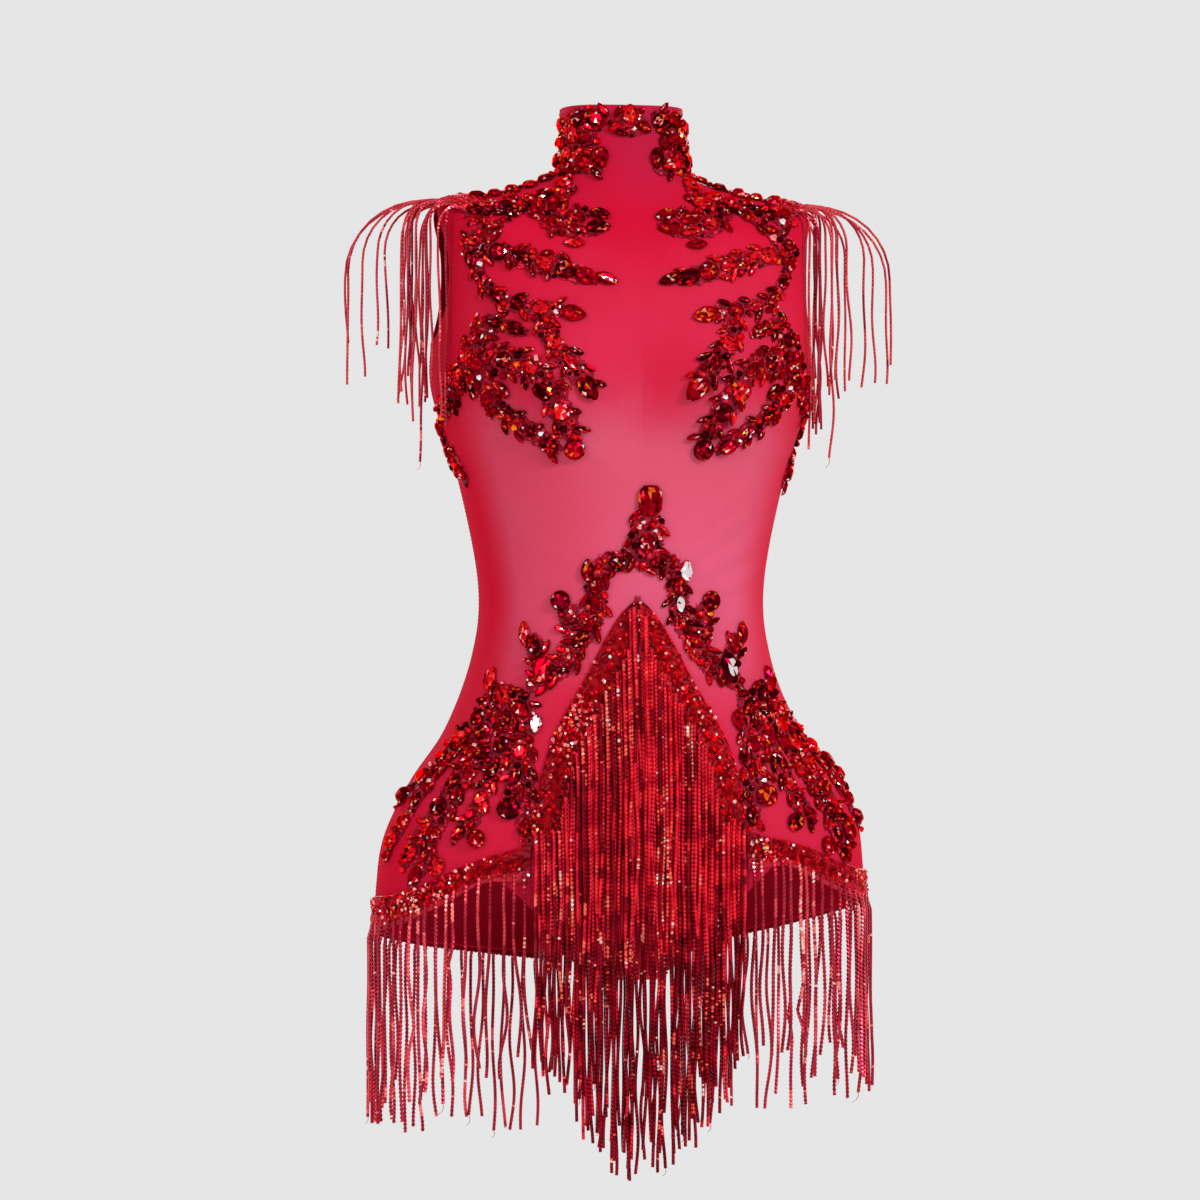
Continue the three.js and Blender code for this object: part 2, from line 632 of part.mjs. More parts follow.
// The crest over the bell-shaped trim: a centre column and a zigzag of spikes towards each hip
const CREST_COLUMN = { via: [[9, -250], [7, -280], [7, -308]], wide: 26, pitch: 16 };
const CREST = [
  { via: [[7, -302], [24, -302], [33, -318]], wide: 12, pitch: 15 },
  { via: [[32, -312], [34, -346], [49, -368]], wide: 12, pitch: 17 },
  { via: [[47, -366], [50, -352], [55, -332]], wide: 12, pitch: 17 },
  { via: [[46, -364], [58, -382], [72, -388]], wide: 15, pitch: 17 },
  { via: [[69, -388], [75, -374], [80, -357]], wide: 11, pitch: 17 },
  { via: [[64, -386], [74, -393], [84, -396]], wide: 12, pitch: 12 },
];
const MOTIF = [
  { via: [[0, 57], [0, 46], [0, 34]], wide: 15, pitch: 11 },
  { via: [[-15, 39], [0, 48], [15, 39]], wide: 9, pitch: 10 },
];

// A stone as shares of its pitch and width: half its table's length, the table's width, its size
// between stones, its height and how much larger the last one is
const STONE = { along: 0.27, table: 0.5, neck: 0.62, rise: 3.6, tip: 1.15 };
const SPRAY = { clear: 0.9, thick: 1.2 };

// A place on the form moved by distances across and down it
function moved(place, across, down) {
  const frame = formFrame(place.round, place.level);
  const round = place.round + across / frame.across.length();
  return { round, level: place.level + down / frame.down.length() };
}

// A place along a branch, with the direction of the branch on the form
function branchPlace(curve, hand, share) {
  const at = curve.getPointAt(share);
  const way = curve.getTangentAt(share);
  const place = onFront(hand * at.x, tiltedFrontHeight(hand * at.x, at.z));
  const frame = formFrame(place.round, place.level);
  const slant = Math.max(frame.across.clone().normalize().x, 0.25);
  const fall = Math.max(-frame.down.clone().normalize().z, 0.25);
  return { ...place, heading: new THREE.Vector2((hand * way.x) / slant, -way.z / fall).normalize() };
}

// Rows along a branch: two for each stone, one between stones and one at each end
function branchRows(wide, pitch, length) {
  const count = Math.max(1, Math.round(length / pitch));
  const rows = [{ share: 0, half: 0.4 * wide * STONE.neck, rise: 0 }];
  for (let k = 0; k < count; k++) {
    const size = k === count - 1 ? STONE.tip : 1 - 0.12 * (k % 2);
    for (const end of [-1, 1]) {
      const share = (k + 0.5 + end * STONE.along) / count;
      rows.push({ share, half: (size * wide) / 2, rise: STONE.rise * size });
    }
    const last = k === count - 1;
    rows.push({ share: (k + 1) / count, half: (last ? 0.2 : STONE.neck / 2) * wide, rise: 0 });
  }
  return rows;
}

// The left, middle and right of a branch on the cloth itself, at a share of its way
function groundAt(curve, hand, share, half) {
  const place = branchPlace(curve, hand, share);
  const beside = (aside) => moved(place, -aside * place.heading.y, aside * place.heading.x);
  const points = [half, 0, -half].map(beside).map((p) => onCloth(p.round, p.level, 0));
  return { points, beside, outward: formFrame(place.round, place.level).outward };
}

// How far the cloth swells between the rows of a branch and across them, so its underside clears it
function swellAround(curve, hand, rows, i) {
  let swell = 0;
  for (const j of [i - 1, i, i + 1]) {
    if (!rows[j]) continue;
    const share = (rows[i].share + rows[j].share) / 2;
    const [near, between, far] = [rows[i], { share, half: (rows[i].half + rows[j].half) / 2 }, rows[j]].map(
      (row) => groundAt(curve, hand, row.share, row.half),
    );
    const flat = [0, 2].map((k) => near.points[k].clone().lerp(far.points[k], 0.5));
    const chords = [flat[0], flat[0].clone().lerp(flat[1], 0.5), flat[1]];
    chords.forEach((chord, k) => {
      swell = Math.max(swell, between.points[k].clone().sub(chord).dot(between.outward));
    });
  }
  return swell;
}

// One branch as one body: stones raised in its upper points over a plain underside
function branchGeometry({ via, wide, pitch }, hand) {
  const curve = new THREE.CatmullRomCurve3(via.map(([x, z]) => new THREE.Vector3(x, 0, z)));
  const positions = [];
  const rows = branchRows(wide, pitch, curve.getLength());
  rows.forEach(({ share, half, rise }, i) => {
    const { beside } = groundAt(curve, hand, share, half);
    const clear = SPRAY.clear + swellAround(curve, hand, rows, i);
    const top = clear + SPRAY.thick + rise;
    const spots = [half, half * STONE.table, -half * STONE.table, -half].map(beside);
    const outs = [clear, top, top, clear];
    spots.forEach((p, k) => positions.push(...onCloth(p.round, p.level, outs[k])));
  });
  const faces = [];
  const quad = (a, b, c, d) => faces.push(a, b, c, a, c, d);
  for (let i = 0; i < rows.length - 1; i++) {
    const [near, far] = [4 * i, 4 * i + 4];
    for (const k of [0, 1, 2]) quad(near + k, far + k, far + k + 1, near + k + 1);
    quad(near, near + 3, far + 3, far);
  }
  const end = 4 * (rows.length - 1);
  quad(0, 1, 2, 3);
  quad(end, end + 3, end + 2, end + 1);
  const geometry = new THREE.BufferGeometry();
  geometry.setAttribute("position", new THREE.Float32BufferAttribute(positions, 3));
  geometry.setIndex(faces);
  return geometry;
}

// A spray of branches as one body
const spray = (branches, hand) => joined(branches.map((branch) => branchGeometry(branch, hand)));

// The crest with its centre column and both zigzags
function crest() {
  const sides = [-1, 1].flatMap((hand) => CREST.map((branch) => branchGeometry(branch, hand)));
  return joined([branchGeometry(CREST_COLUMN, 1), ...sides]);
}

// Materials
function finish(color, roughness, metalness) {
  return new THREE.MeshStandardMaterial({ color, roughness, metalness });
}

const mesh = finish(0xd01a38, 0.65, 0);
const stones = finish(0x7a0510, 0.12, 0.4);
const sequins = finish(0xb01020, 0.3, 0.5);

const garment = new THREE.Group();
function add(name, geometry, material) {
  const piece = new THREE.Mesh(geometry, material);
  piece.name = name;
  garment.add(piece);
  return piece;
}

cloth.push(add("front_panel", frontPanel(), mesh));
cloth.push(add("back_panel_left", backPanel(1), mesh));
cloth.push(add("back_panel_right", backPanel(-1), mesh));
add("crotch_gusset", gusset(), mesh);
add("collar_motif", spray(MOTIF, 1), stones);
add("waist_crest", crest(), stones);
add("apron_fringe", joined([...apronHalf(1), ...apronHalf(-1)]), sequins);
for (const [side, hand] of [["left", 1], ["right", -1]]) {
  add("hem_fringe_" + side, hemFringe(hand), sequins);
  add("shoulder_fringe_" + side, shoulderFringe(hand), sequins);
  add("shoulder_spray_" + side, spray(SPRAYS.shoulder, hand), stones);
  add("bust_spray_" + side, spray(SPRAYS.bust, hand), stones);
  add("hip_spray_" + side, spray(SPRAYS.hip, hand), stones);
}

export default garment;
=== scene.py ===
import math

import bpy
import numpy as np
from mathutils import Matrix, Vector


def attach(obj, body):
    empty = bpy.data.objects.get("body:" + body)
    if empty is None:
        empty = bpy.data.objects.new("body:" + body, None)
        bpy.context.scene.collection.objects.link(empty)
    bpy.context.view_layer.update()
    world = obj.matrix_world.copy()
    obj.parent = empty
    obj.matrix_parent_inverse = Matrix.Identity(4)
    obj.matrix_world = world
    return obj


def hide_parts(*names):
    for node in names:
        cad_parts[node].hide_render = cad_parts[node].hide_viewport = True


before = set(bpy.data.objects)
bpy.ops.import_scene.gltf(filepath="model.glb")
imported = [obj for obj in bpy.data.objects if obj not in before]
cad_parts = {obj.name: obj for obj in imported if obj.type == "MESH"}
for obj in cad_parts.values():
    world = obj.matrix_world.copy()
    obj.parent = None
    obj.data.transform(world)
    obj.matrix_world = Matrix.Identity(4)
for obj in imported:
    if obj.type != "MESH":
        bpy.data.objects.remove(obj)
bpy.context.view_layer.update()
draw = np.random.default_rng(11)

MM = 0.001
CLOTH = 1.6
SHELL = 0.9
SEAM_GAP = 0.3

# The form under the cloth: heights at the centre front, side and centre back, half width, and depths
# fore and aft
LEVELS = {
    "front": [59, 28, -3, -23, -44, -66, -92, -120, -146, -174, -235, -318, -375, -430, -470, -510, -548,
              -585, -612, -634],
    "side": [61, 34, 10, 0, -8, -19, -54, -93, -128, -166, -235, -318, -375, -430, -470, -510, -548,
             -585, -612, -634],
    "back": [64, 40, 18, 4, -14, -36, -64, -96, -128, -166, -235, -318, -375, -430, -470, -510, -548,
             -585, -612, -634],
    "half": [47, 48, 52, 68, 104, 147, 150, 151, 151, 150, 129, 113, 118, 139, 168, 188, 194, 195, 194, 190],
    "fore": [46, 46, 49, 57, 71, 84, 92, 97, 99, 98, 92, 87, 93, 100, 104, 104, 100, 89, 67, 30],
    "aft": [48, 49, 53, 60, 72, 81, 86, 88, 88, 85, 76, 67, 80, 104, 124, 135, 138, 132, 110, 62],
}
LEVELS = {name: np.array(values, float) for name, values in LEVELS.items()}
LAST_LEVEL = len(LEVELS["half"]) - 1
SHOULDER_LEVEL = 5
UNDERARM_LEVEL = 8
HIP_LEVEL = 14
FULLNESS = 0.13
CUP = {"across": 70, "height": -163, "wide": 46, "tall": 43, "deep": 25}
TILT = {"slope": 0.045, "start": 380, "full": 500}
ARMHOLE = {"front": 21, "back": 22}
LEG_HEM = {
    "round": [0, 8.9, 18, 26.6, 35.3, 42, 50, 60, 74, 90, 110, 130, 150, 171, 180],
    "height": [-622, -621, -589, -559, -537, -547, -558, -569, -578, -581, -592, -603, -612, -621, -622],
}
GUSSET = {"corner": 8.9, "drop": 15, "waist": 25}


def smooth_between(a, b, c, d, t):
    """The value a share t of the way from b to c, on a curve that also follows a and d."""
    return b + 0.5 * t * (c - a + t * (2 * a - 5 * b + 4 * c - d + t * (3 * (b - c) + d - a)))


def column(name, level):
    """Smooth value of a column of LEVELS at fractional levels."""
    level = np.asarray(level, float)
    low = np.clip(np.floor(level).astype(int), 0, LAST_LEVEL - 1)
    near = (LEVELS[name][np.clip(low + k, 0, LAST_LEVEL)] for k in (-1, 0, 1, 2))
    return smooth_between(*near, level - low)


def smooth_step(value, low, high):
    t = np.clip((value - low) / (high - low), 0, 1)
    return t * t * (3 - 2 * t)


def tilted(x, z):
    """Height with the tilt of the hips."""
    return z + TILT["slope"] * x * smooth_step(-z, TILT["start"], TILT["full"])


def form_point(round_, level):
    """Points of the form. round_ is the angle from the centre front, towards +X."""
    round_, level = np.broadcast_arrays(np.asarray(round_, float), np.asarray(level, float))
    s, c = np.sin(round_), np.cos(round_)
    ahead = c >= 0
    middle = np.where(ahead, column("front", level), column("back", level))
    depth = np.where(ahead, column("fore", level), column("aft", level))
    x = column("half", level) * s
    y = -depth * c * (1 + FULLNESS * s * s)
    z = middle + (column("side", level) - middle) * s * s
    off = (np.abs(x) - CUP["across"]) / CUP["wide"]
    up = (z - CUP["height"]) / CUP["tall"]
    swell = CUP["deep"] * np.exp(-off * off - up * up) * np.minimum(1, c * 3)
    y = y - np.where(ahead, swell, 0)
    return np.stack([x, y, tilted(x, z)], -1)


def unit(v):
    return v / np.maximum(np.linalg.norm(v, axis=-1, keepdims=True), 1e-9)


def way_along(path):
    """Distance from the start of a path to each of its points."""
    return np.concatenate([[0], np.cumsum(np.linalg.norm(np.diff(path, axis=0), axis=1))])


def form_frame(round_, level):
    """Directions across (per radian) and down (per level) the form, and its outward normal."""
    turn, step = 0.004, 0.02
    across = (form_point(round_ + turn, level) - form_point(round_ - turn, level)) / (2 * turn)
    down = (form_point(round_, level + step) - form_point(round_, level - step)) / (2 * step)
    return across, down, unit(np.cross(down, across))


def skin(round_, level, out):
    """Points that lie a distance outside the form."""
    round_, level = np.broadcast_arrays(np.asarray(round_, float), np.asarray(level, float))
    outward = form_frame(round_, level)[2]
    on_side = np.abs(np.abs(round_) - math.pi / 2) < 1e-6
    on_back = np.abs(np.abs(round_) - math.pi) < 1e-6
    outward[on_side, 1] = 0
    outward[on_back, 0] = 0
    return form_point(round_, level) + unit(outward) * np.asarray(out, float)[..., None]


def bisect(low, high, shape, is_above):
    """Level at which is_above turns false, by halving."""
    low = np.full(shape, float(low))
    high = np.full(shape, float(high))
    for _ in range(26):
        middle = (low + high) / 2
        above = is_above(middle)
        low = np.where(above, middle, low)
        high = np.where(above, high, middle)
    return (low + high) / 2


def level_at(round_, height):
    """Level at which the form below the armholes has a given height."""
    round_, height = np.broadcast_arrays(np.asarray(round_, float), np.asarray(height, float))

    def is_above(level):
        return form_point(round_, level)[..., 2] > height

    return bisect(UNDERARM_LEVEL, LAST_LEVEL, round_.shape, is_above)


def on_front(x, z):
    """Angle and level of the points of the front that are seen at x, z from straight ahead."""
    x, z = np.broadcast_arrays(np.asarray(x, float), np.asarray(z, float))

    def angle(level):
        return np.arcsin(np.clip(x / column("half", level), -1, 1))

    def above(level):
        narrow = (level < SHOULDER_LEVEL) & (np.abs(x) > column("half", level))
        return narrow | (form_point(angle(level), level)[..., 2] > z)

    level = bisect(0, LAST_LEVEL, x.shape, above)
    return angle(level), level


def hem_height(round_):
    """Height of the leg hem, its corners eased, with the tilt of the hips."""
    degrees = np.abs(np.degrees(round_))
    spans = [
        np.interp(np.abs(degrees + k), LEG_HEM["round"], LEG_HEM["height"]) for k in (-3, -1.5, 0, 1.5, 3)
    ]
    eased = np.mean(spans, axis=0)
    plain = np.interp(degrees, LEG_HEM["round"], LEG_HEM["height"])
    height = np.where((degrees > 14) & (degrees < 168), eased, plain)
    return height + TILT["slope"] * column("half", HIP_LEVEL + 2) * np.sin(round_)


# Meshes

def piece(name, points, faces, materials, looks=None, smooth=False, standing=None, slot=None):
    """A mesh object from points in millimetres, on the part's one body."""
    mesh = bpy.data.meshes.new(name)
    mesh.from_pydata((np.asarray(points) * MM).tolist(), [], faces)
    for each in materials:
        mesh.materials.append(each)
    if looks is not None:
        mesh.polygons.foreach_set("material_index", np.asarray(looks, np.int32))
    mesh.polygons.foreach_set("use_smooth", np.full(len(mesh.polygons), smooth))
    mesh.update()
    made = bpy.data.objects.new(name, mesh)
    bpy.context.scene.collection.objects.link(made)
    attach(made, "root")
    if standing:
        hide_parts(*standing)
    return made


def wall(outer, inner):
    """Points and faces of a closed wall between two grids of points."""
    rows, columns = outer.shape[:2]
    index = np.arange(rows * columns).reshape(rows, columns)
    lift = rows * columns
    face = np.stack([index[:-1, :-1], index[1:, :-1], index[1:, 1:], index[:-1, 1:]], -1).reshape(-1, 4)
    border = np.concatenate([index[0, :], index[1:, -1], index[-1, -2::-1], index[-2:0:-1, 0]])
    after = np.roll(border, -1)
    rim = np.stack([border, after, after + lift, border + lift], -1)
    points = np.concatenate([outer.reshape(-1, 3), inner.reshape(-1, 3)])
    return points, np.concatenate([face, face[:, ::-1] + lift, rim])


class Gathered:
    """Many small shapes joined into one mesh."""

    def __init__(self):
        self.points = []
        self.faces = []
        self.looks = []
        self.count = 0

    def add(self, points, faces, look=0):
        points = np.asarray(points, float).reshape(-1, 3)
        faces = np.asarray(faces)
        self.points.append(points)
        self.faces.extend((faces + self.count).tolist())
        self.looks.append(np.broadcast_to(look, len(faces)))
        self.count += len(points)

    def stamp(self, shape, faces, at, along, aside, outward, size, look):
        """One copy of a shape at each place; size scales its three directions."""
        local = shape[None] * size[:, None, :]
        points = at[:, None] + sum(
            local[..., k, None] * way[:, None] for k, way in enumerate((along, aside, outward))
        )
        steps = np.arange(len(at))[:, None, None] * len(shape)
        made = (np.asarray(faces)[None] + steps).reshape(-1, len(faces[0]))
        self.add(points, made, np.repeat(look, len(faces)))

    def piece(self, name, materials, **others):
        points = np.concatenate(self.points)
        return piece(name, points, self.faces, materials, looks=np.concatenate(self.looks), **others)


# Materials

def node(tree, kind, inputs, **settings):
    """A shader node. inputs holds a value, or a socket to link, for each of its inputs."""
    made = tree.nodes.new("ShaderNode" + kind)
    for key, value in settings.items():
        setattr(made, key, value)
    for key, value in inputs.items():
        if isinstance(value, bpy.types.NodeSocket):
            tree.links.new(value, made.inputs[key])
        else:
            made.inputs[key].default_value = value
    return made


# Where the noise between two colours begins and ends
NOISE_SPAN = (0.4, 0.62)


def material(name, colors, scale, roughness, metallic=0.0, gloss=0.5):
    """A surface whose colour drifts between two by noise, and its parts for further nodes."""
    made = bpy.data.materials.new(name)
    made.use_nodes = True
    tree = made.node_tree
    shader = tree.nodes["Principled BSDF"]
    shader.inputs["Roughness"].default_value = roughness
    shader.inputs["Metallic"].default_value = metallic
    shader.inputs["Specular IOR Level"].default_value = gloss
    at = node(tree, "TexCoord", {}).outputs["Object"]
    noise = node(tree, "TexNoise", {"Scale": scale, "Detail": 3, "Vector": at})
    ramp = node(tree, "ValToRGB", {"Fac": noise.outputs["Fac"]})
    for stop, place, color in zip(ramp.color_ramp.elements, NOISE_SPAN, colors):
        stop.position = place
        stop.color = (*color, 1)
    tree.links.new(ramp.outputs["Color"], shader.inputs["Base Color"])
    return made, tree, shader, at, ramp.outputs["Color"]


def lay_over(tree, shader, color, share, other):
    """Another colour over a share of the surface."""
    mixed = node(tree, "Mix", {"Factor": share, "A": color, "B": (*other, 1)}, data_type="RGBA")
    tree.links.new(mixed.outputs["Result"], shader.inputs["Base Color"])


def add_specks(tree, shader, at, color, scale, share, speck):
    """Cells of another colour, scattered over a share of the surface."""
    cells = node(tree, "TexVoronoi", {"Scale": scale, "Vector": at})
    parts = node(tree, "SeparateColor", {"Color": cells.outputs["Color"]})
    chosen = node(tree, "Math", {0: parts.outputs["Red"], 1: 1 - share}, operation="GREATER_THAN")
    lay_over(tree, shader, color, chosen.outputs[0], speck)


def add_weave(tree, shader, at, scale, strength, distance):
    """A fine knit of crossed bands, as a bump."""
    bands = {"Scale": scale, "Distortion": 0.6, "Vector": at}
    heights = [
        node(tree, "TexWave", bands, bands_direction=way).outputs["Fac"] for way in ("DIAGONAL", "Z")
    ]
    both = node(tree, "Math", dict(enumerate(heights)), operation="ADD").outputs[0]
    bump = node(tree, "Bump", {"Strength": strength, "Distance": distance, "Height": both})
    tree.links.new(bump.outputs["Normal"], shader.inputs["Normal"])


# How deep the cloth's colour gets as its outward direction turns to -X and to +X: from, to and how much
# The first row paints shade on the -X side, away from the key light; the other two paint shade at both side
# edges, together with the deeper look of sheer mesh there
SIDE_SHADE = [
    {"way": -1, "from": -0.05, "to": 0.35, "share": 0.36},
    {"way": -1, "from": 0.52, "to": 0.94, "share": 1.0},
    {"way": 1, "from": 0.52, "to": 1.04, "share": 1.0},
]


def add_side_shade(tree, shader, color, tint):
    """Painted shade where the cloth turns to the sides, with sheer mesh's deeper look over a figure there;
    more shade on the -X side, away from the key light.
    """
    normal = node(tree, "TexCoord", {}).outputs["Normal"]
    across = node(tree, "SeparateXYZ", {0: normal}).outputs["X"]
    most = 0.0
    for side in SIDE_SHADE:
        ends = {
            "From Min": side["way"] * side["from"],
            "From Max": side["way"] * side["to"],
            "To Max": side["share"],
            "Value": across,
        }
        turned = node(tree, "MapRange", ends, interpolation_type="SMOOTHSTEP").outputs["Result"]
        most = node(tree, "Math", {0: most, 1: turned}, operation="MAXIMUM").outputs[0]
    lay_over(tree, shader, color, most, tint)


# Colour of the cloth by height: sheer and lighter over the waist, deeper where it is doubled or clear
# of skin
CLOTH_TINTS = {
    "height": [-0.62, -0.44, -0.33, -0.22, -0.14, -0.03, 0.05],
    "red": [0.48, 0.50, 0.54, 0.52, 0.49, 0.47, 0.37],
    "green": [0.006, 0.016, 0.074, 0.066, 0.016, 0.004, 0.008],
    "blue": [0.030, 0.050, 0.140, 0.120, 0.050, 0.026, 0.038],
}


# How far noise blurs the heights, and half of that, by which it would shift them
BLUR = 0.12
BLUR_SHIFT = 0.06


def height_tint(tree, at):
    """Colour by height, its bounds blurred by noise."""
    noise = node(tree, "TexNoise", {"Scale": 9, "Vector": at})
    parts = node(tree, "SeparateXYZ", {0: at})
    moved = {0: noise.outputs["Fac"], 1: BLUR, 2: parts.outputs["Z"]}
    blurred = node(tree, "Math", moved, operation="MULTIPLY_ADD").outputs[0]
    low, high = CLOTH_TINTS["height"][0], CLOTH_TINTS["height"][-1]
    ends = {"From Min": low + BLUR_SHIFT, "From Max": high + BLUR_SHIFT, "Value": blurred}
    share = node(tree, "MapRange", ends)
    ramp = node(tree, "ValToRGB", {"Fac": share.outputs["Result"]})
    stops = ramp.color_ramp
    stops.interpolation = "EASE"
    for k, height in enumerate(CLOTH_TINTS["height"]):
        place = (height - low) / (high - low)
        stop = stops.elements[k] if k < 2 else stops.elements.new(place)
        stop.position = place
    for k, stop in enumerate(stops.elements):
        stop.color = (*(CLOTH_TINTS[name][k] for name in ("red", "green", "blue")), 1)
    return ramp.outputs["Color"]


mesh_cloth, tree, shader, at, tint = material(
    "red_mesh", [(0.50, 0.006, 0.03), (0.52, 0.02, 0.06)], 7, 0.75, gloss=0.02,
)
add_weave(tree, shader, at, 520, 0.25, 0.0003)
add_side_shade(tree, shader, height_tint(tree, at), (0.50, 0.003, 0.022))
# The backing's dark red is partly its own colour, partly painted shade in the gaps between the stones
backing, tree, shader, at, tint = material(
    "spray_backing", [(0.12, 0.0, 0.008), (0.26, 0.001, 0.016)], 260, 0.6, gloss=0.1,
)
add_specks(tree, shader, at, tint, 420, 0.16, (0.62, 0.01, 0.035))
trim_cloth = material(
    "trim_cloth", [(0.16, 0.001, 0.010), (0.26, 0.003, 0.018)], 120, 0.6, gloss=0.2,
)[0]
thread = material(
    "red_thread", [(0.36, 0.006, 0.022), (0.46, 0.01, 0.03)], 300, 0.6, gloss=0.2,
)[0]
loop_string = material(
    "looped_sequins", [(0.36, 0.002, 0.014), (0.70, 0.018, 0.036)], 200, 0.28, metallic=0.8,
)[0]

# Looks of a sequin string: dark, plain and bright runs, and single glints. The dark look is a deeper red
# that also paints shade low down; the glint and bright looks are painted highlights
STRING_LOOKS = {
    "apron": [
        [(0.19, 0.0, 0.007), (0.39, 0.002, 0.016)],
        [(0.62, 0.004, 0.026), (1.0, 0.028, 0.055)],
        [(1.0, 0.08, 0.060), (1.0, 0.20, 0.13)],
        [(1.0, 0.48, 0.42), (1.0, 0.84, 0.78)],
    ],
    "hem": [
        [(0.34, 0.008, 0.026), (0.50, 0.020, 0.045)],
        [(0.60, 0.032, 0.055), (0.82, 0.070, 0.090)],
        [(0.95, 0.13, 0.13), (1.0, 0.24, 0.22)],
        [(1.0, 0.45, 0.38), (1.0, 0.75, 0.68)],
    ],
}
GLINT_LOOK = 2
BRIGHT_LOOK = 3
THREAD_LOOK = 4


def string_set(name):
    """The looks of a kind of string, and its thread last."""
    strings = enumerate(STRING_LOOKS[name])
    made = [material(f"{name}_string_{k}", colors, 90, 0.2, metallic=0.9)[0] for k, colors in strings]
    return [*made, thread]


string_sets = {name: string_set(name) for name in STRING_LOOKS}


# Where strings and sequins catch the light: place seen from ahead, how far it spreads and how strongly
SHINE = [
    {"at": (-38, -428), "reach": (24, 26), "share": 0.75},
    {"at": (-6, -392), "reach": (16, 20), "share": 0.35},
    {"at": (36, -440), "reach": (12, 30), "share": 0.45},
    {"at": (20, -520), "reach": (7, 60), "share": 0.5},
    {"at": (-14, -600), "reach": (30, 18), "share": 0.4},
    {"at": (-46, -632), "reach": (16, 22), "share": 0.45},
    {"at": (28, -560), "reach": (10, 34), "share": 0.4},
    {"at": (52, -640), "reach": (12, 14), "share": 0.5},
    {"at": (-60, -560), "reach": (12, 30), "share": 0.3},
    {"at": (-152, -566), "reach": (28, 16), "share": 0.8},
    {"at": (96, -528), "reach": (20, 14), "share": 0.5},
    {"at": (130, -590), "reach": (14, 40), "share": 0.4},
    {"at": (-160, -700), "reach": (14, 24), "share": 0.25},
    {"at": (30, -690), "reach": (20, 30), "share": 0.3},
]


# Depths below the neck between which the strings come to hang in their own shade
SHADE = (540, 620)


def shine(x, z):
    """Share of the rings or sequins at x, z that catch the light."""
    share = np.full(np.shape(x), 0.04)
    for patch in SHINE:
        (x0, z0), (wide, tall) = patch["at"], patch["reach"]
        share = np.maximum(share, patch["share"] * np.exp(-((x - x0) / wide) ** 2 - ((z - z0) / tall) ** 2))
    return share


# How many rings of a string catch the light together
GLINT_RUN = 6
# Share of dark strings at the top, and how much larger it is in the shade
DARK = (0.3, 0.62)
# Rings between stretches of another look, and the fewest and most rings of one
STRETCH = {"between": 60, "rings": (3, 20)}
# How much brighter or duller whole strings are, and the shares of these
STRING_GLINT = ([0.2, 0.8, 2.4], [0.5, 0.3, 0.2])
# Share of the rings that glint alone, and share of the glints that are bright
ALONE = 0.35
BRIGHT = 0.14


def run_looks(points):
    """Looks of the rings of one string, with painted shade low down and painted highlights in the light."""
    count = len(points)
    shaded = DARK[0] + DARK[1] * smooth_step(-points[:, 2], *SHADE)
    looks = np.where(draw.random() < shaded, 0, 1)
    for _ in range(draw.poisson(count / STRETCH["between"])):
        at = draw.integers(count)
        looks[at:at + draw.integers(*STRETCH["rings"])] = draw.integers(2)
    share = shine(points[:, 0], points[:, 2]) * draw.choice(STRING_GLINT[0], p=STRING_GLINT[1])
    runs = np.repeat(draw.random(count // GLINT_RUN + 1), GLINT_RUN)[:count]
    calls = np.where(draw.random(count) < ALONE, draw.random(count), runs)
    looks[calls < share] = GLINT_LOOK
    looks[calls < share * BRIGHT] = BRIGHT_LOOK
    return looks


# Looks of the stones. Garnet, ruby and red are the stones' own reds; mixed over the facets of one stone they
# also paint lit and dark facets. flame, pink_glint and clear are painted flashes and highlights
STONE_LOOKS = {
    "garnet": ([(0.030, 0.0, 0.002), (0.09, 0.0, 0.005)], 0.31),
    "ruby": ([(0.22, 0.0, 0.005), (0.38, 0.001, 0.010)], 0.33),
    "red": ([(0.66, 0.004, 0.012), (0.90, 0.014, 0.022)], 0.24),
    "flame": ([(1.0, 0.07, 0.004), (1.0, 0.26, 0.012)], 0.03),
    "pink_glint": ([(1.0, 0.24, 0.22), (1.0, 0.50, 0.46)], 0.05),
    "clear": ([(0.88, 0.80, 0.81), (0.97, 0.93, 0.93)], 0.022),
}
stone_materials = []
for name, (colors, _) in STONE_LOOKS.items():
    made, tree, shader, at, tint = material("stone_" + name, colors, 180, 0.07, metallic=1.0)
    if name != "clear":
        shader.inputs["Specular Tint"].default_value = (1.0, 0.25, 0.25, 1)
    stone_materials.append(made)
stone_shares = np.array([share for _, share in STONE_LOOKS.values()])
stone_shares = stone_shares / stone_shares.sum()
# Shares of the looks among the other facets of a large stone and among the loose sequins on the bands, with
# painted flashes and highlights among them
facet_shares = np.array([0.34, 0.33, 0.22, 0.015, 0.065, 0.03])
header_shares = np.array([0.04, 0.22, 0.46, 0.02, 0.23, 0.03])
LOOK_NUMBER = {name: k for k, name in enumerate(STONE_LOOKS)}


# Cloth panels

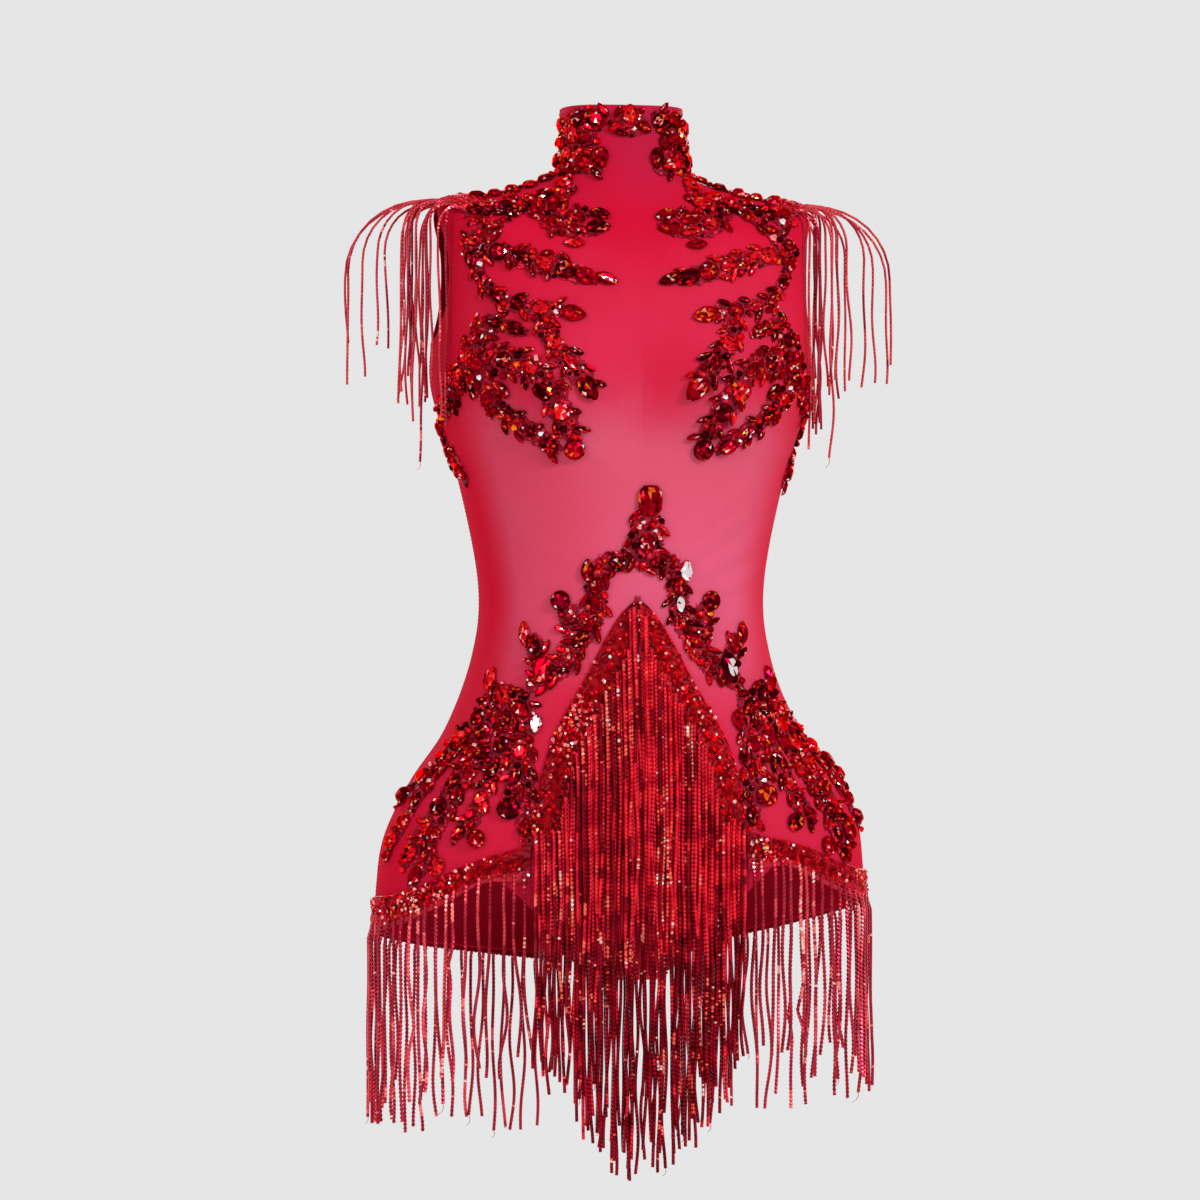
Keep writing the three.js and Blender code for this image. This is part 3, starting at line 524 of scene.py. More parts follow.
# Soft creases on the front: from x, z to x, z seen from ahead, how high and how wide
CREASES = [
    {"from": (34, -300), "to": (92, -262), "high": 2.0, "wide": 3.4},
    {"from": (30, -286), "to": (86, -246), "high": 1.8, "wide": 3.2},
    {"from": (40, -316), "to": (98, -284), "high": 2.0, "wide": 3.4},
    {"from": (52, -330), "to": (104, -306), "high": 1.8, "wide": 3.4},
    {"from": (-44, -306), "to": (-98, -276), "high": 0.5, "wide": 4.0},
    {"from": (-52, -328), "to": (-104, -302), "high": 0.5, "wide": 4.4},
    {"from": (-8, -236), "to": (-46, -212), "high": 0.5, "wide": 5.0},
    {"from": (16, -234), "to": (52, -214), "high": 0.5, "wide": 5.0},
    {"from": (-120, -130), "to": (-84, -96), "high": 0.7, "wide": 5.0},
    {"from": (122, -130), "to": (84, -98), "high": 0.7, "wide": 5.0},
    {"from": (-22, -60), "to": (-8, -118), "high": 0.4, "wide": 6.0},
    {"from": (24, -62), "to": (9, -120), "high": 0.4, "wide": 6.0},
    {"from": (-70, -560), "to": (-24, -606), "high": 0.7, "wide": 5.0},
    {"from": (70, -560), "to": (24, -606), "high": 0.7, "wide": 5.0},
]


def crease_height(x, z):
    """Height of the creases over the form, at places seen from ahead."""
    height = np.zeros_like(x)
    for fold in CREASES:
        (x0, z0), (x1, z1) = fold["from"], fold["to"]
        run = (x1 - x0) ** 2 + (z1 - z0) ** 2
        t = np.clip(((x - x0) * (x1 - x0) + (z - z0) * (z1 - z0)) / run, 0, 1)
        away = np.hypot(x - x0 - t * (x1 - x0), z - z0 - t * (z1 - z0)) / fold["wide"]
        rise = np.exp(-away * away) * np.sin(math.pi * (0.12 + 0.76 * t))
        height = np.maximum(height, fold["high"] * rise)
    return height


def armhole_edge(level, drawn):
    """Angle of the front half of an armhole's edge. drawn is how far it is cut in, in degrees."""
    t = np.clip((level - SHOULDER_LEVEL) / (UNDERARM_LEVEL - SHOULDER_LEVEL), 0, 1)
    return math.pi / 2 - math.radians(drawn) * np.sqrt(np.maximum(1 - (2 * t - 1) ** 2, 0))


def panel_rows():
    """Levels of a panel from the collar to the hips, closer together beside the armhole."""
    turn = (1 - np.cos(np.linspace(0, math.pi, 31))) / 2
    armhole = SHOULDER_LEVEL + (UNDERARM_LEVEL - SHOULDER_LEVEL) * turn
    return np.concatenate([np.linspace(0, 5, 46)[:-1], armhole, np.linspace(8, HIP_LEVEL, 82)[1:]])


def panel_grid(share, edge_angle):
    """Angles and levels of a panel. share runs over its width."""
    levels = panel_rows()
    round_ = edge_angle(levels[:, None], share[None])
    level = np.broadcast_to(levels[:, None], round_.shape)
    low_round = np.repeat(round_[-1:], 42, axis=0)
    hem = level_at(low_round[0], hem_height(low_round[0]))
    steps = np.linspace(0, 1, 43)[1:, None]
    low_level = HIP_LEVEL + (hem[None] - HIP_LEVEL) * steps
    return np.concatenate([round_, low_round]), np.concatenate([level, low_level])


# The turned edges at the collar and leg arches are a little thicker
TURNED = {"deep": 6.5, "thick": 0.45}


def hem_fold(grid_round, grid_level):
    """Extra thickness of the turned collar and leg edges, as a height over the cloth."""
    top = form_point(grid_round, np.zeros_like(grid_level))[..., 2]
    z = form_point(grid_round, grid_level)[..., 2]
    below = np.abs(z - top)
    above = np.abs(z - hem_height(grid_round))
    near = np.where(grid_level < 2, below, np.where(grid_level > HIP_LEVEL, above, 99))
    return TURNED["thick"] * (1 - smooth_step(near, TURNED["deep"] - 0.8, TURNED["deep"] + 0.8))


def cloth_panel(name, node, share, edge_angle, creased, seam):
    round_, level = panel_grid(share, edge_angle)
    ground = form_point(round_, level)
    swell = crease_height(ground[..., 0], ground[..., 2]) if creased else np.zeros_like(round_)
    swell = swell + hem_fold(round_, level)
    outer = skin(round_, level, CLOTH + swell)
    inner = skin(round_, level, CLOTH - SHELL + swell * 0.8)
    for side in (outer, inner):
        seam(side, level[:, 0])
    points, faces = wall(outer, inner)
    return piece(name, points, faces.tolist(), [mesh_cloth], smooth=True, standing=[node], slot="mesh")


def is_open(level):
    return (level > SHOULDER_LEVEL + 0.01) & (level < UNDERARM_LEVEL - 0.01)


def front_seam(side, level):
    closed = ~is_open(level)
    side[closed, 0, 1] = -SEAM_GAP / 2
    side[closed, -1, 1] = -SEAM_GAP / 2


def back_seam(hand):
    def seam(side, level):
        closed = ~is_open(level)
        centre, edge = (-1, 0) if hand > 0 else (0, -1)
        side[:, centre, 0] = hand * SEAM_GAP / 2
        side[closed, edge, 1] = SEAM_GAP / 2

    return seam


def back_angle(hand):
    def angle(level, share):
        edge = math.pi - armhole_edge(level, ARMHOLE["back"])
        return hand * (edge + (math.pi - edge) * share)

    return angle


# Names of the wearer's sides, by the sign of X
SIDE = {1: "left", -1: "right"}
front_cloth = cloth_panel(
    "front_cloth", "front_panel", np.linspace(-1, 1, 141),
    lambda level, share: share * armhole_edge(level, ARMHOLE["front"]), True, front_seam,
)
for hand, side_name in SIDE.items():
    shares = np.linspace(0, 1, 61)[::hand]
    cloth_panel(
        "back_cloth_" + side_name, "back_panel_" + side_name,
        shares, back_angle(hand), False, back_seam(hand),
    )


def gusset_cloth():
    """The crotch gusset, a curved strip from the front's lower edge to the backs'."""
    ends = []
    for round_ in (0.0, math.pi):
        level = level_at(round_, hem_height(np.array(round_)))
        down = form_frame(np.array(round_), level)[1]
        down[..., 0] = 0
        ends.append((form_point(round_, level), unit(down)))
    (front, front_way), (back, back_way) = ends
    corner = math.radians(GUSSET["corner"])
    halves = [
        abs(form_point(round_, level_at(round_, hem_height(np.array(round_))))[..., 0])
        for round_ in (corner, math.pi - corner)
    ]
    start, end = front + front_way * SEAM_GAP, back + back_way * SEAM_GAP
    reach = np.linalg.norm(start - end) * 0.3
    first, second = start + front_way * reach, end + back_way * reach
    first[2], second[2] = start[2] - GUSSET["drop"], end[2] - GUSSET["drop"]
    t = np.linspace(0, 1, 41)[:, None]
    path = (1 - t) ** 3 * start + 3 * t * (1 - t) ** 2 * first + 3 * t * t * (1 - t) * second + t ** 3 * end
    along = unit(np.gradient(path, axis=0))
    outward = np.stack([np.zeros(len(path)), along[:, 2], -along[:, 1]], -1)
    half = halves[0] * (1 - t) + halves[1] * t
    half = half + (GUSSET["waist"] - half) * np.sin(math.pi * t)
    share = np.linspace(-1, 1, 25)
    grids = []
    for out in (CLOTH, CLOTH - SHELL):
        grid = path[:, None] + outward[:, None] * out + np.zeros((1, len(share), 1))
        grid[..., 0] = share[None] * half
        grids.append(grid)
    points, faces = wall(*grids)
    return piece("gusset_cloth", points, faces.tolist(), [mesh_cloth], smooth=True,
                 standing=["crotch_gusset"], slot="mesh")


gusset = gusset_cloth()

# Strings of sequins: rings of corners, each turned half a step from the last, so the sides glint
STRING = {"radius": 1.5, "step": 1.6, "corners": 4, "wide": 1.08, "narrow": 0.84}


def resampled(path, step):
    """Points at even steps along a path."""
    path = np.asarray(path, float)
    length = way_along(path)
    count = max(int(length[-1] / step), 3)
    stops = np.linspace(0, length[-1], count)
    return np.stack([np.interp(stops, length, path[:, k]) for k in range(3)], -1)


def add_string(gathered, path, aside, radius=STRING["radius"]):
    """A ribbed string along a path. aside is a direction that it never runs in."""
    points = resampled(path, STRING["step"])
    way = unit(np.gradient(points, axis=0))
    u = unit(np.cross(way, np.asarray(aside, float)))
    w = np.cross(way, u)
    corners = STRING["corners"]
    ring = np.arange(len(points))
    turn = 2 * math.pi / corners * (np.arange(corners)[None] + 0.5 * (ring % 2)[:, None])
    size = radius * np.where(ring % 2, STRING["wide"], STRING["narrow"])[:, None]
    out = u[:, None] * np.cos(turn)[..., None] + w[:, None] * np.sin(turn)[..., None]
    made = points[:, None] + out * size[..., None]
    k = np.arange(corners)
    after = (k + 1) % corners
    even = np.concatenate([np.stack([k, after, k + corners], -1),
                           np.stack([k + corners, after, after + corners], -1)])
    odd = np.concatenate([np.stack([k, after, after + corners], -1),
                          np.stack([k, after + corners, k + corners], -1)])
    steps = np.arange(len(points) - 1)
    faces = np.where((steps % 2 == 0)[:, None, None], even[None], odd[None])
    faces = (faces + steps[:, None, None] * corners).reshape(-1, 3)
    gathered.add(made, faces, np.repeat(run_looks(points[:-1]), 2 * corners))


# Shortest and longest loose thread below a string
TAIL = (4, 9)


def add_tail(gathered, end, share):
    """A loose thread below the end of a share of the strings."""
    if draw.random() >= share:
        return
    length = draw.uniform(*TAIL)
    lean = draw.normal(0, 0.16, 2)
    stops = np.array([0, 0.35, 0.7, 1])[:, None]
    drift = np.stack([lean[0] + 0.3 * np.sin(4 * stops[:, 0]), np.full(4, lean[1]), np.full(4, -1.0)], -1)
    path = end + stops * length * drift
    corners = np.array([[0.3, 0, 0], [-0.15, 0.26, 0], [-0.15, -0.26, 0]])
    points = (path[:, None] + corners[None]).reshape(-1, 3)
    sides = [(3 * i + a, 3 * i + b) for i in range(3) for a, b in ((0, 1), (1, 2), (2, 0))]
    faces = [[a, b, b + 3] for a, b in sides] + [[a, b + 3, a + 3] for a, b in sides]
    gathered.add(points, faces, THREAD_LOOK)


def swaying(path, across, other, amount):
    """A hanging path with a drift and a few slow waves that grow towards its end."""
    path = resampled(path, 6)
    fall = np.linspace(0, 1, len(path))
    length = np.linalg.norm(path[-1] - path[0])
    for way, share in ((across, 1.0), (other, 0.35)):
        drift = draw.normal(0, 0.45) * amount * fall ** 1.6
        waves = sum(
            draw.uniform(0.15, 0.4) * amount
            * np.sin(fall * length / draw.uniform(11, 26) + draw.uniform(0, 6.3))
            for _ in range(2)
        )
        path = path + np.asarray(way)[None] * (share * (drift + waves * fall ** 0.8))[:, None]
    return path


def kinked(path, across, share):
    """A hanging path in which, for a share of the strings, one short stretch is bent aside."""
    if draw.random() > share:
        return path
    at = draw.integers(len(path) // 3, len(path) - 3)
    bend = draw.uniform(2.5, 5.5) * draw.choice([-1, 1])
    reach = np.maximum(1 - np.abs(np.arange(len(path)) - at) / 2.6, 0)
    return path + np.asarray(across)[None] * (bend * reach)[:, None]


# Trim bands, their looks and the numbers of these
trim_looks = [trim_cloth, loop_string, thread, *stone_materials]
LOOP_LOOK = 1
HEADING_LOOK = 2
FIRST_STONE = 3
BAND = {"clear": 0.7, "thick": 0.9, "wide": 21}
BAND_TOP = CLOTH + BAND["clear"] + BAND["thick"]
BELL = {
    "x": [-2, 13, 27, 44, 60, 72, 79, 84],
    "z": [-327, -340, -364, -398, -424, -450, -480, -507],
}
BELL_MITRE = 12
HEM_TRIM = {
    "round": [26, 31, 38, 46, 56, 70, 90],
    "height": [-512, -519, -524, -532, -544, -553, -557],
}
BACK_TRIM = {"until": 166, "wide": 24}
# The curtain: distance and layers of its strings, how far it reaches, how far the layers stand off and
# start above the edge, the sway, and the shares that are shorter, end high up or end in a thread
APRON = {
    "spacing": 4.5, "layers": 3, "reach": 82, "inner": 1.6, "shift": 0.6, "first": 4.0, "apart": 3.1,
    "root": 1.5, "root_step": 2.5, "point_root": 4.0, "sway": 3.2, "some_short": 0.3, "shorter": (10, 46),
    "some_high": 0.2, "high_foot": (-640, -560), "tails": 0.1, "sequins": 1440,
}
APRON_FOOT = {"height": -764, "rise": 78, "power": 1.7, "half": 82, "uneven": 15}
BELLY_FULLEST = -478


def bell_edges(hand, count=60):
    """Upper and lower edges of one half of the bell-shaped trim, as angles and levels."""
    stops = np.linspace(0, len(BELL["x"]) - 1, count)
    x, z = (np.interp(stops, np.arange(len(BELL["x"])), BELL[k]) for k in ("x", "z"))
    kernel = np.ones(9) / 9
    padded = (np.pad(v, 4, mode="reflect", reflect_type="odd") for v in (x, z))
    x, z = (np.convolve(v, kernel, mode="valid") for v in padded)
    way = unit(np.stack([np.gradient(x), np.gradient(z)], -1))
    low_x = np.maximum(x + way[:, 1] * BAND["wide"], BELL["x"][0])
    low_z = z - way[:, 0] * BAND["wide"]
    low_z = low_z - BELL_MITRE * np.clip(1 - np.arange(count) / 9, 0, 1)
    upper = on_front(hand * x, tilted(hand * x, z))
    lower = on_front(hand * low_x, tilted(hand * low_x, low_z))
    return upper, lower


def hem_edges(hand, count=120):
    degrees = np.linspace(HEM_TRIM["round"][0], BACK_TRIM["until"], count)
    round_ = hand * np.radians(degrees)
    plain_tilt = TILT["slope"] * column("half", HIP_LEVEL + 2) * np.sin(round_)
    ahead = np.interp(degrees, HEM_TRIM["round"], HEM_TRIM["height"]) + plain_tilt
    top = np.where(degrees <= 90, ahead, hem_height(round_) + BACK_TRIM["wide"])
    low_round = hand * np.radians(np.maximum(degrees, 36.5))
    hem = hem_height(low_round) + TILT["slope"] * 188 * (np.sin(round_) - np.sin(low_round))
    low = np.minimum(hem + 2, top - 16)
    return (round_, level_at(round_, top)), (round_, level_at(round_, low))


def between(upper, lower, share):
    """Places between two edges. share is 0 on the upper and 1 on the lower."""
    return tuple(a + (b - a) * share for a, b in zip(upper, lower))


def at_stops(edges, stops):
    """Places on each of some edges, at fractions of their steps."""
    places = np.arange(len(edges[0][0]))
    return [tuple(np.interp(stops, places, values) for values in edge) for edge in edges]


def as_grid(places):
    """Angles and levels as two grids, from rows of places."""
    return tuple(np.stack([place[k] for place in places], 1) for k in (0, 1))


def add_band(gathered, upper, lower):
    """The cloth strip that the strings are sewn to."""
    shares = np.linspace(0, 1, 7)
    round_, level = as_grid([between(upper, lower, share) for share in shares])
    rim = (np.abs(shares - 0.5) > 0.4)[None]
    scallop = 0.35 * np.sin(np.arange(len(round_))[:, None] * 1.7) * rim
    gathered.add(*wall(skin(round_, level, BAND_TOP + scallop), skin(round_, level, CLOTH + BAND["clear"])))


RUCHE = {"top": 0.84, "foot": 1.2, "pleat": 3.3, "deep": 0.5, "clear": 0.7, "thick": 0.5}


def add_ruche(gathered, upper, lower):
    """A narrow gathered heading at the lower edge of a band."""
    count = len(upper[0])
    foot = skin(*lower, np.full(count, CLOTH))
    length = way_along(foot)
    stations = np.arange(0, length[-1], RUCHE["pleat"] / 5)
    stops = np.interp(stations, length, np.arange(count))
    edges = at_stops((upper, lower), stops)
    shares = np.linspace(RUCHE["top"], RUCHE["foot"], 4)
    round_, level = as_grid([between(*edges, share) for share in shares])
    turn = 2 * math.pi * stations / RUCHE["pleat"] + 1.3 * np.sin(stations / 7)
    swell = RUCHE["deep"] * np.sin(turn)[:, None] * np.linspace(0.3, 1, 4)[None]
    outer = skin(round_, level, BAND_TOP + RUCHE["clear"] + swell)
    inner = skin(round_, level, BAND_TOP + RUCHE["clear"] - RUCHE["thick"] + swell)
    gathered.add(*wall(outer, inner), HEADING_LOOK)


# Leaf-shaped loops: length, width, distance, slant in degrees, sizes of the nested ones, and radius
LEAF = {"long": 36, "wide": 13, "pitch": 15, "slant": 14, "nested": (1.0, 0.62, 0.26), "string": 0.8}


def add_leaves(gathered, upper, lower, rows=(0.3, 0.72), pitch=LEAF["pitch"]):
    """Strings sewn down in nested leaf-shaped loops along a band, in rows at shares of its width."""
    count = len(upper[0])
    middle = skin(*between(upper, lower, 0.5), np.full(count, CLOTH))
    length = way_along(middle)
    lift = BAND_TOP + 0.35
    t = np.linspace(0, 2 * math.pi, 33)
    for row, share in enumerate(rows):
        for at in np.arange(pitch * (0.5 + 0.5 * row), length[-1], pitch):
            slant = math.radians(LEAF["slant"] * draw.uniform(0.75, 1.25)) * (1 if row else -1)
            size = draw.uniform(0.85, 1.1)
            for ring, nest in enumerate(LEAF["nested"]):
                along = LEAF["long"] / 2 * size * (nest * np.cos(t) + 0.3 * (1 - nest))
                across = LEAF["wide"] / 2 * size * nest * np.sin(t) * (1 + 0.35 * np.cos(t))
                run = at + along * math.cos(slant) - across * math.sin(slant)
                stops = np.clip(np.interp(run, length, np.arange(count)), 0, count - 1)
                aside = share + (along * math.sin(slant) + across * math.cos(slant)) / BAND["wide"]
                aside = np.clip(aside, 0.02, 0.98)
                round_, level = between(*at_stops((upper, lower), stops), aside)
                path = skin(round_, level, lift + 0.22 * ring + 0.3 * row)
                outward = form_frame(round_[:1], level[:1])[2][0]
                add_loop(gathered, path, outward, LEAF["string"])


def add_loop(gathered, path, outward, radius):
    """A fine plain string that lies on the cloth."""
    way = unit(np.gradient(path, axis=0))
    aside = unit(np.cross(way, outward))
    corners = np.array([[1, -0.6], [-1, -0.6], [0, 1.1]]) * radius
    spread = aside[:, None] * corners[None, :, :1] + outward[None, None] * corners[None, :, 1:]
    points = path[:, None] + spread
    k = np.arange(3)
    after = (k + 1) % 3
    each = np.concatenate([np.stack([k, after, after + 3], -1), np.stack([k, after + 3, k + 3], -1)])
    steps = np.arange(len(path) - 1)[:, None, None] * 3
    gathered.add(points, (each[None] + steps).reshape(-1, 3), LOOP_LOOK)


SEQUIN_CORNERS = 6
turns = np.arange(SEQUIN_CORNERS) * 2 * math.pi / SEQUIN_CORNERS
SEQUIN_RIM = np.stack([np.cos(turns), np.sin(turns), np.full(SEQUIN_CORNERS, 0.22)], -1)
SEQUIN = np.concatenate([SEQUIN_RIM, [[0, 0, 0]]])
SEQUIN_FACES = [[k, (k + 1) % SEQUIN_CORNERS, SEQUIN_CORNERS] for k in range(SEQUIN_CORNERS)]


def place_frames(round_, level, heading):
    """Unit directions along, aside and outward at places, turned by a heading angle."""
    across, down, outward = form_frame(round_, level)
    across = unit(across)
    down = unit(down - outward * (down * outward).sum(-1, keepdims=True))
    aside = np.cross(outward, across)
    cos, sin = np.cos(heading)[:, None], np.sin(heading)[:, None]
    return across * cos + aside * sin, aside * cos - across * sin, outward


def tipped(along, aside, outward, amount):
    """Directions tipped a little at random, as sewn sequins lie."""
    lean = draw.normal(0, amount, (len(along), 2))
    normal = unit(outward + along * lean[:, :1] + aside * lean[:, 1:])
    along = unit(along - normal * (along * normal).sum(-1, keepdims=True))
    return along, np.cross(normal, along), normal


def add_sequins(gathered, round_, level, lift, size, looks):
    ways = place_frames(round_, level, draw.uniform(0, 6.3, len(round_)))
    along, aside, outward = tipped(*ways, 0.32)
    at = skin(round_, level, lift)
    sizes = np.stack([size, size, size], -1)
    gathered.stamp(SEQUIN, SEQUIN_FACES, at, along, aside, outward, sizes, looks)


# Share of the places on a band that hold a loose sequin, how much more where it catches the light,
# how far they stand off, and their radii
LOOSE = {"share": 0.035, "more": 1.2, "clear": 1.2, "uneven": 0.8, "radius": (1.0, 1.7)}


def scattered_on_band(gathered, upper, lower, tries):
    """Loose sequins on a band, most of them where it catches the light."""
    stops = draw.uniform(0, len(upper[0]) - 1, tries)
    middle = form_point(*at_stops([between(upper, lower, 0.5)], stops)[0])
    kept = draw.random(tries) < LOOSE["share"] + LOOSE["more"] * shine(middle[:, 0], middle[:, 2])
    stops = stops[kept]
    number = len(stops)
    share = draw.beta(0.9, 1.1, number)
    round_, level = between(*at_stops((upper, lower), stops), share)
    lift = BAND_TOP + LOOSE["clear"] + draw.uniform(0, LOOSE["uneven"], number)
    looks = FIRST_STONE + draw.choice(len(stone_materials), number, p=header_shares)
    add_sequins(gathered, round_, level, lift, draw.uniform(*LOOSE["radius"], number), looks)


def foremost(x, start, stop):
    """Foremost y of the form at x between two heights, at each height on the way."""
    heights = np.arange(start, min(stop, start) - 1, -6.0)
    round_, level = on_front(np.full(len(heights), x), heights)
    return heights, np.minimum.accumulate(form_point(round_, level)[:, 1])


def apron_foot(x):
    return APRON_FOOT["height"] + APRON_FOOT["rise"] * (abs(x) / APRON_FOOT["half"]) ** APRON_FOOT["power"]


SIDEWAYS = np.array([1.0, 0.0, 0.0])
FORWARD = np.array([0.0, 1.0, 0.0])


# Strings nearer to the middle than this start at the top of the trim and lie over its point
OVER_THE_POINT = 6.5


def edge_height(edge, x, hand):
    """Height of an edge of the bell at x."""
    points = form_point(*edge)
    points = points[np.argsort(hand * points[:, 0])]
    return float(np.interp(hand * x, hand * points[:, 0], points[:, 2]))


def apron_strings(hand):
    """The curtain of strings below one half of the bell."""
    gathered = Gathered()
    upper, lower = bell_edges(hand)
    for layer in range(APRON["layers"]):
        inner = APRON["inner"] + APRON["spacing"] * layer / APRON["layers"]
        for x in np.arange(inner, APRON["reach"], APRON["spacing"]):
            x = hand * (x + draw.uniform(-APRON["shift"], APRON["shift"]))
            root = edge_height(lower, x, hand) + APRON["root"] + APRON["root_step"] * layer
            if abs(x) < OVER_THE_POINT:
                root = edge_height(upper, x, hand) - APRON["point_root"]
            foot = apron_foot(x) + APRON_FOOT["uneven"] * draw.uniform(-1, 1)
            if draw.random() < APRON["some_short"]:
                foot = foot + draw.uniform(*APRON["shorter"])
            if layer == APRON["layers"] - 1 and draw.random() < APRON["some_high"]:
                foot = draw.uniform(*APRON["high_foot"])
            off = CLOTH + APRON["first"] + APRON["apart"] * layer + draw.uniform(-0.5, 0.5)
            heights, reach = foremost(x, root - 10, BELLY_FULLEST)
            round_, level = on_front(x, root)
            start = skin(round_, level, BAND_TOP)
            drape = np.stack([np.full(len(heights), x), reach - off, heights], -1)
            end = drape[-1] * [1, 1, 0] + [0, 0, foot]
            path = swaying(np.vstack([start, drape, end]), SIDEWAYS, FORWARD, APRON["sway"])
            nearest = np.interp(-path[:, 2], -heights, reach) - off + 1.2
            path[:, 1] = np.minimum(path[:, 1], nearest)
            add_string(gathered, path, SIDEWAYS)
            add_tail(gathered, path[-1], APRON["tails"])
    gathered.piece("apron_strings_" + SIDE[hand], string_sets["apron"], slot="sequins",
                   standing=["apron_fringe"] if hand > 0 else None)


def apron_header():
    gathered = Gathered()
    for hand in (1, -1):
        upper, lower = bell_edges(hand)
        add_band(gathered, *((upper, lower) if hand > 0 else (lower, upper)))
        add_leaves(gathered, upper, lower)
        scattered_on_band(gathered, upper, lower, APRON["sequins"])
    gathered.piece("apron_header", trim_looks, slot="sequins", standing=["apron_fringe"])


# Strings of the leg hems and shoulders: length and how uneven, distances from and to, how far they stand
# off, how much they sway, and the shares that are short, kinked or end in a thread
HEM_STRINGS = {
    "length": 152, "uneven": 12, "apart": (6.4, 11.6), "stand": (1.4, 4.4), "sway": 6.0,
    "whole": 0.9, "shorter": (15, 50), "kinked": 0.16, "tails": 0.12, "sequins": 1920,
}


def hem_fringe(hand):
    """Header and strings round one leg."""
    header = Gathered()
    upper, lower = hem_edges(hand)
    add_band(header, *((upper, lower) if hand < 0 else (lower, upper)))
    edges = [tuple(values[::-hand] for values in edge) for edge in (upper, lower)]
    add_ruche(header, *edges)
    add_leaves(header, upper, lower, rows=(0.34, 0.7))
    scattered_on_band(header, upper, lower, HEM_STRINGS["sequins"])
    header.piece("hem_header_" + SIDE[hand], trim_looks, slot="sequins",
                 standing=["hem_fringe_" + SIDE[hand]])
    strings = Gathered()
    count = len(upper[0])
    arc = skin(*lower, np.full(count, CLOTH + 2))
    length = way_along(arc)
    position = 4.0
    while position < length[-1] - 3:
        stop = np.interp(position, length, np.arange(count))
        round_, level = (np.interp(stop, np.arange(count), lower[k]) for k in (0, 1))
        outward = form_frame(np.array(round_), np.array(level))[2]
        flat = unit(outward * [1, 1, 0])
        sway = np.cross(flat, [0, 0, 1])
        start = skin(round_, level - 0.06, BAND_TOP)
        hung = start + flat * draw.uniform(*HEM_STRINGS["stand"])
        fall = HEM_STRINGS["length"] + draw.uniform(-HEM_STRINGS["uneven"], HEM_STRINGS["uneven"])
        if draw.random() >= HEM_STRINGS["whole"]:
            fall = fall - draw.uniform(*HEM_STRINGS["shorter"])
        path = np.vstack([start, hung - [0, 0, 11], hung - [0, 0, fall]])
        path = kinked(swaying(path, sway, flat, HEM_STRINGS["sway"]), sway, HEM_STRINGS["kinked"])
        push = np.maximum((start - path) @ flat + 0.8, 0)
        path = path + flat[None] * push[:, None]
        add_string(strings, path, sway)
        add_tail(strings, path[-1], HEM_STRINGS["tails"])
        position += draw.uniform(*HEM_STRINGS["apart"])
    strings.piece("hem_strings_" + SIDE[hand], string_sets["hem"], slot="sequins")


PATCH = {"round": (60, 120), "level": (4.5, 4.97), "steps": 40, "sequins": 200}
SHOULDER_STRINGS = {
    "round": [64, 68, 72, 76, 80, 84, 88, 92, 97, 102, 107, 113],
    "reach": [20, 27, 20, 36, 27, 50, 72, 60, 74, 44, 28, 22],
    "length": [196, 222, 168, 205, 190, 186, 212, 196, 204, 178, 192, 170],
}


# The arc in which they leave the shoulder: share of its reach and more that it drops, how far it lifts and
# drifts, how much length it takes, the least straight length, and the radius of a string
ARC = {"fall": 0.72, "drop": 6, "lift": 3, "drift": 0.16, "slack": 1.2, "straight": 40, "radius": 1.15}


def shoulder_fringe(hand):
    """The patch on one shoulder and the strings that fall over it."""
    patch = Gathered()
    turn = hand * np.radians(np.linspace(*PATCH["round"], PATCH["steps"]))
    upper, lower = ((turn, np.full(len(turn), level)) for level in PATCH["level"])
    add_band(patch, *((upper, lower) if hand < 0 else (lower, upper)))
    add_leaves(patch, upper, lower, rows=(0.25, 0.5, 0.75), pitch=6)
    scattered_on_band(patch, upper, lower, PATCH["sequins"])
    patch.piece("shoulder_patch_" + SIDE[hand], trim_looks, slot="sequins",
                standing=["shoulder_fringe_" + SIDE[hand]])
    strings = Gathered()
    stops = np.arange(len(SHOULDER_STRINGS["round"]))
    for stop in np.concatenate([stops, stops[:-1] + 0.5]):
        round_, reach, length = (np.interp(stop, stops, row) for row in SHOULDER_STRINGS.values())
        if stop % 1:
            reach = draw.uniform(9, 30)
        length = length * draw.uniform(0.8, 1.0)
        root = skin(hand * math.radians(round_), PATCH["level"][1] - 0.06, CLOTH + 2.4)
        fall = reach * ARC["fall"] + ARC["drop"]
        t = np.linspace(0.08, 1, 9)
        bend = t * math.pi / 2
        arc = np.stack([
            root[0] + hand * reach * np.sin(bend),
            root[1] * (1 + ARC["drift"] * t),
            root[2] + ARC["lift"] * np.sin(2 * bend) - fall * (1 - np.cos(bend)),
        ], -1)
        straight = max(length - ARC["slack"] * math.hypot(reach, fall), ARC["straight"])
        foot = arc[-1] - [0, 0, straight]
        hanging = swaying(np.vstack([arc[-1:], foot[None]]), SIDEWAYS, FORWARD, 4.5)
        hanging[:, 0] = hand * np.maximum(hand * hanging[:, 0], hand * arc[-1, 0] - 3)
        path = np.vstack([root[None], arc, hanging[1:]])
        add_string(strings, path, FORWARD, radius=ARC["radius"])
        add_tail(strings, path[-1], HEM_STRINGS["tails"])
    strings.piece("shoulder_strings_" + SIDE[hand], string_sets["hem"], slot="sequins")


apron_header()
for hand in (1, -1):
    apron_strings(hand)
    hem_fringe(hand)
    shoulder_fringe(hand)

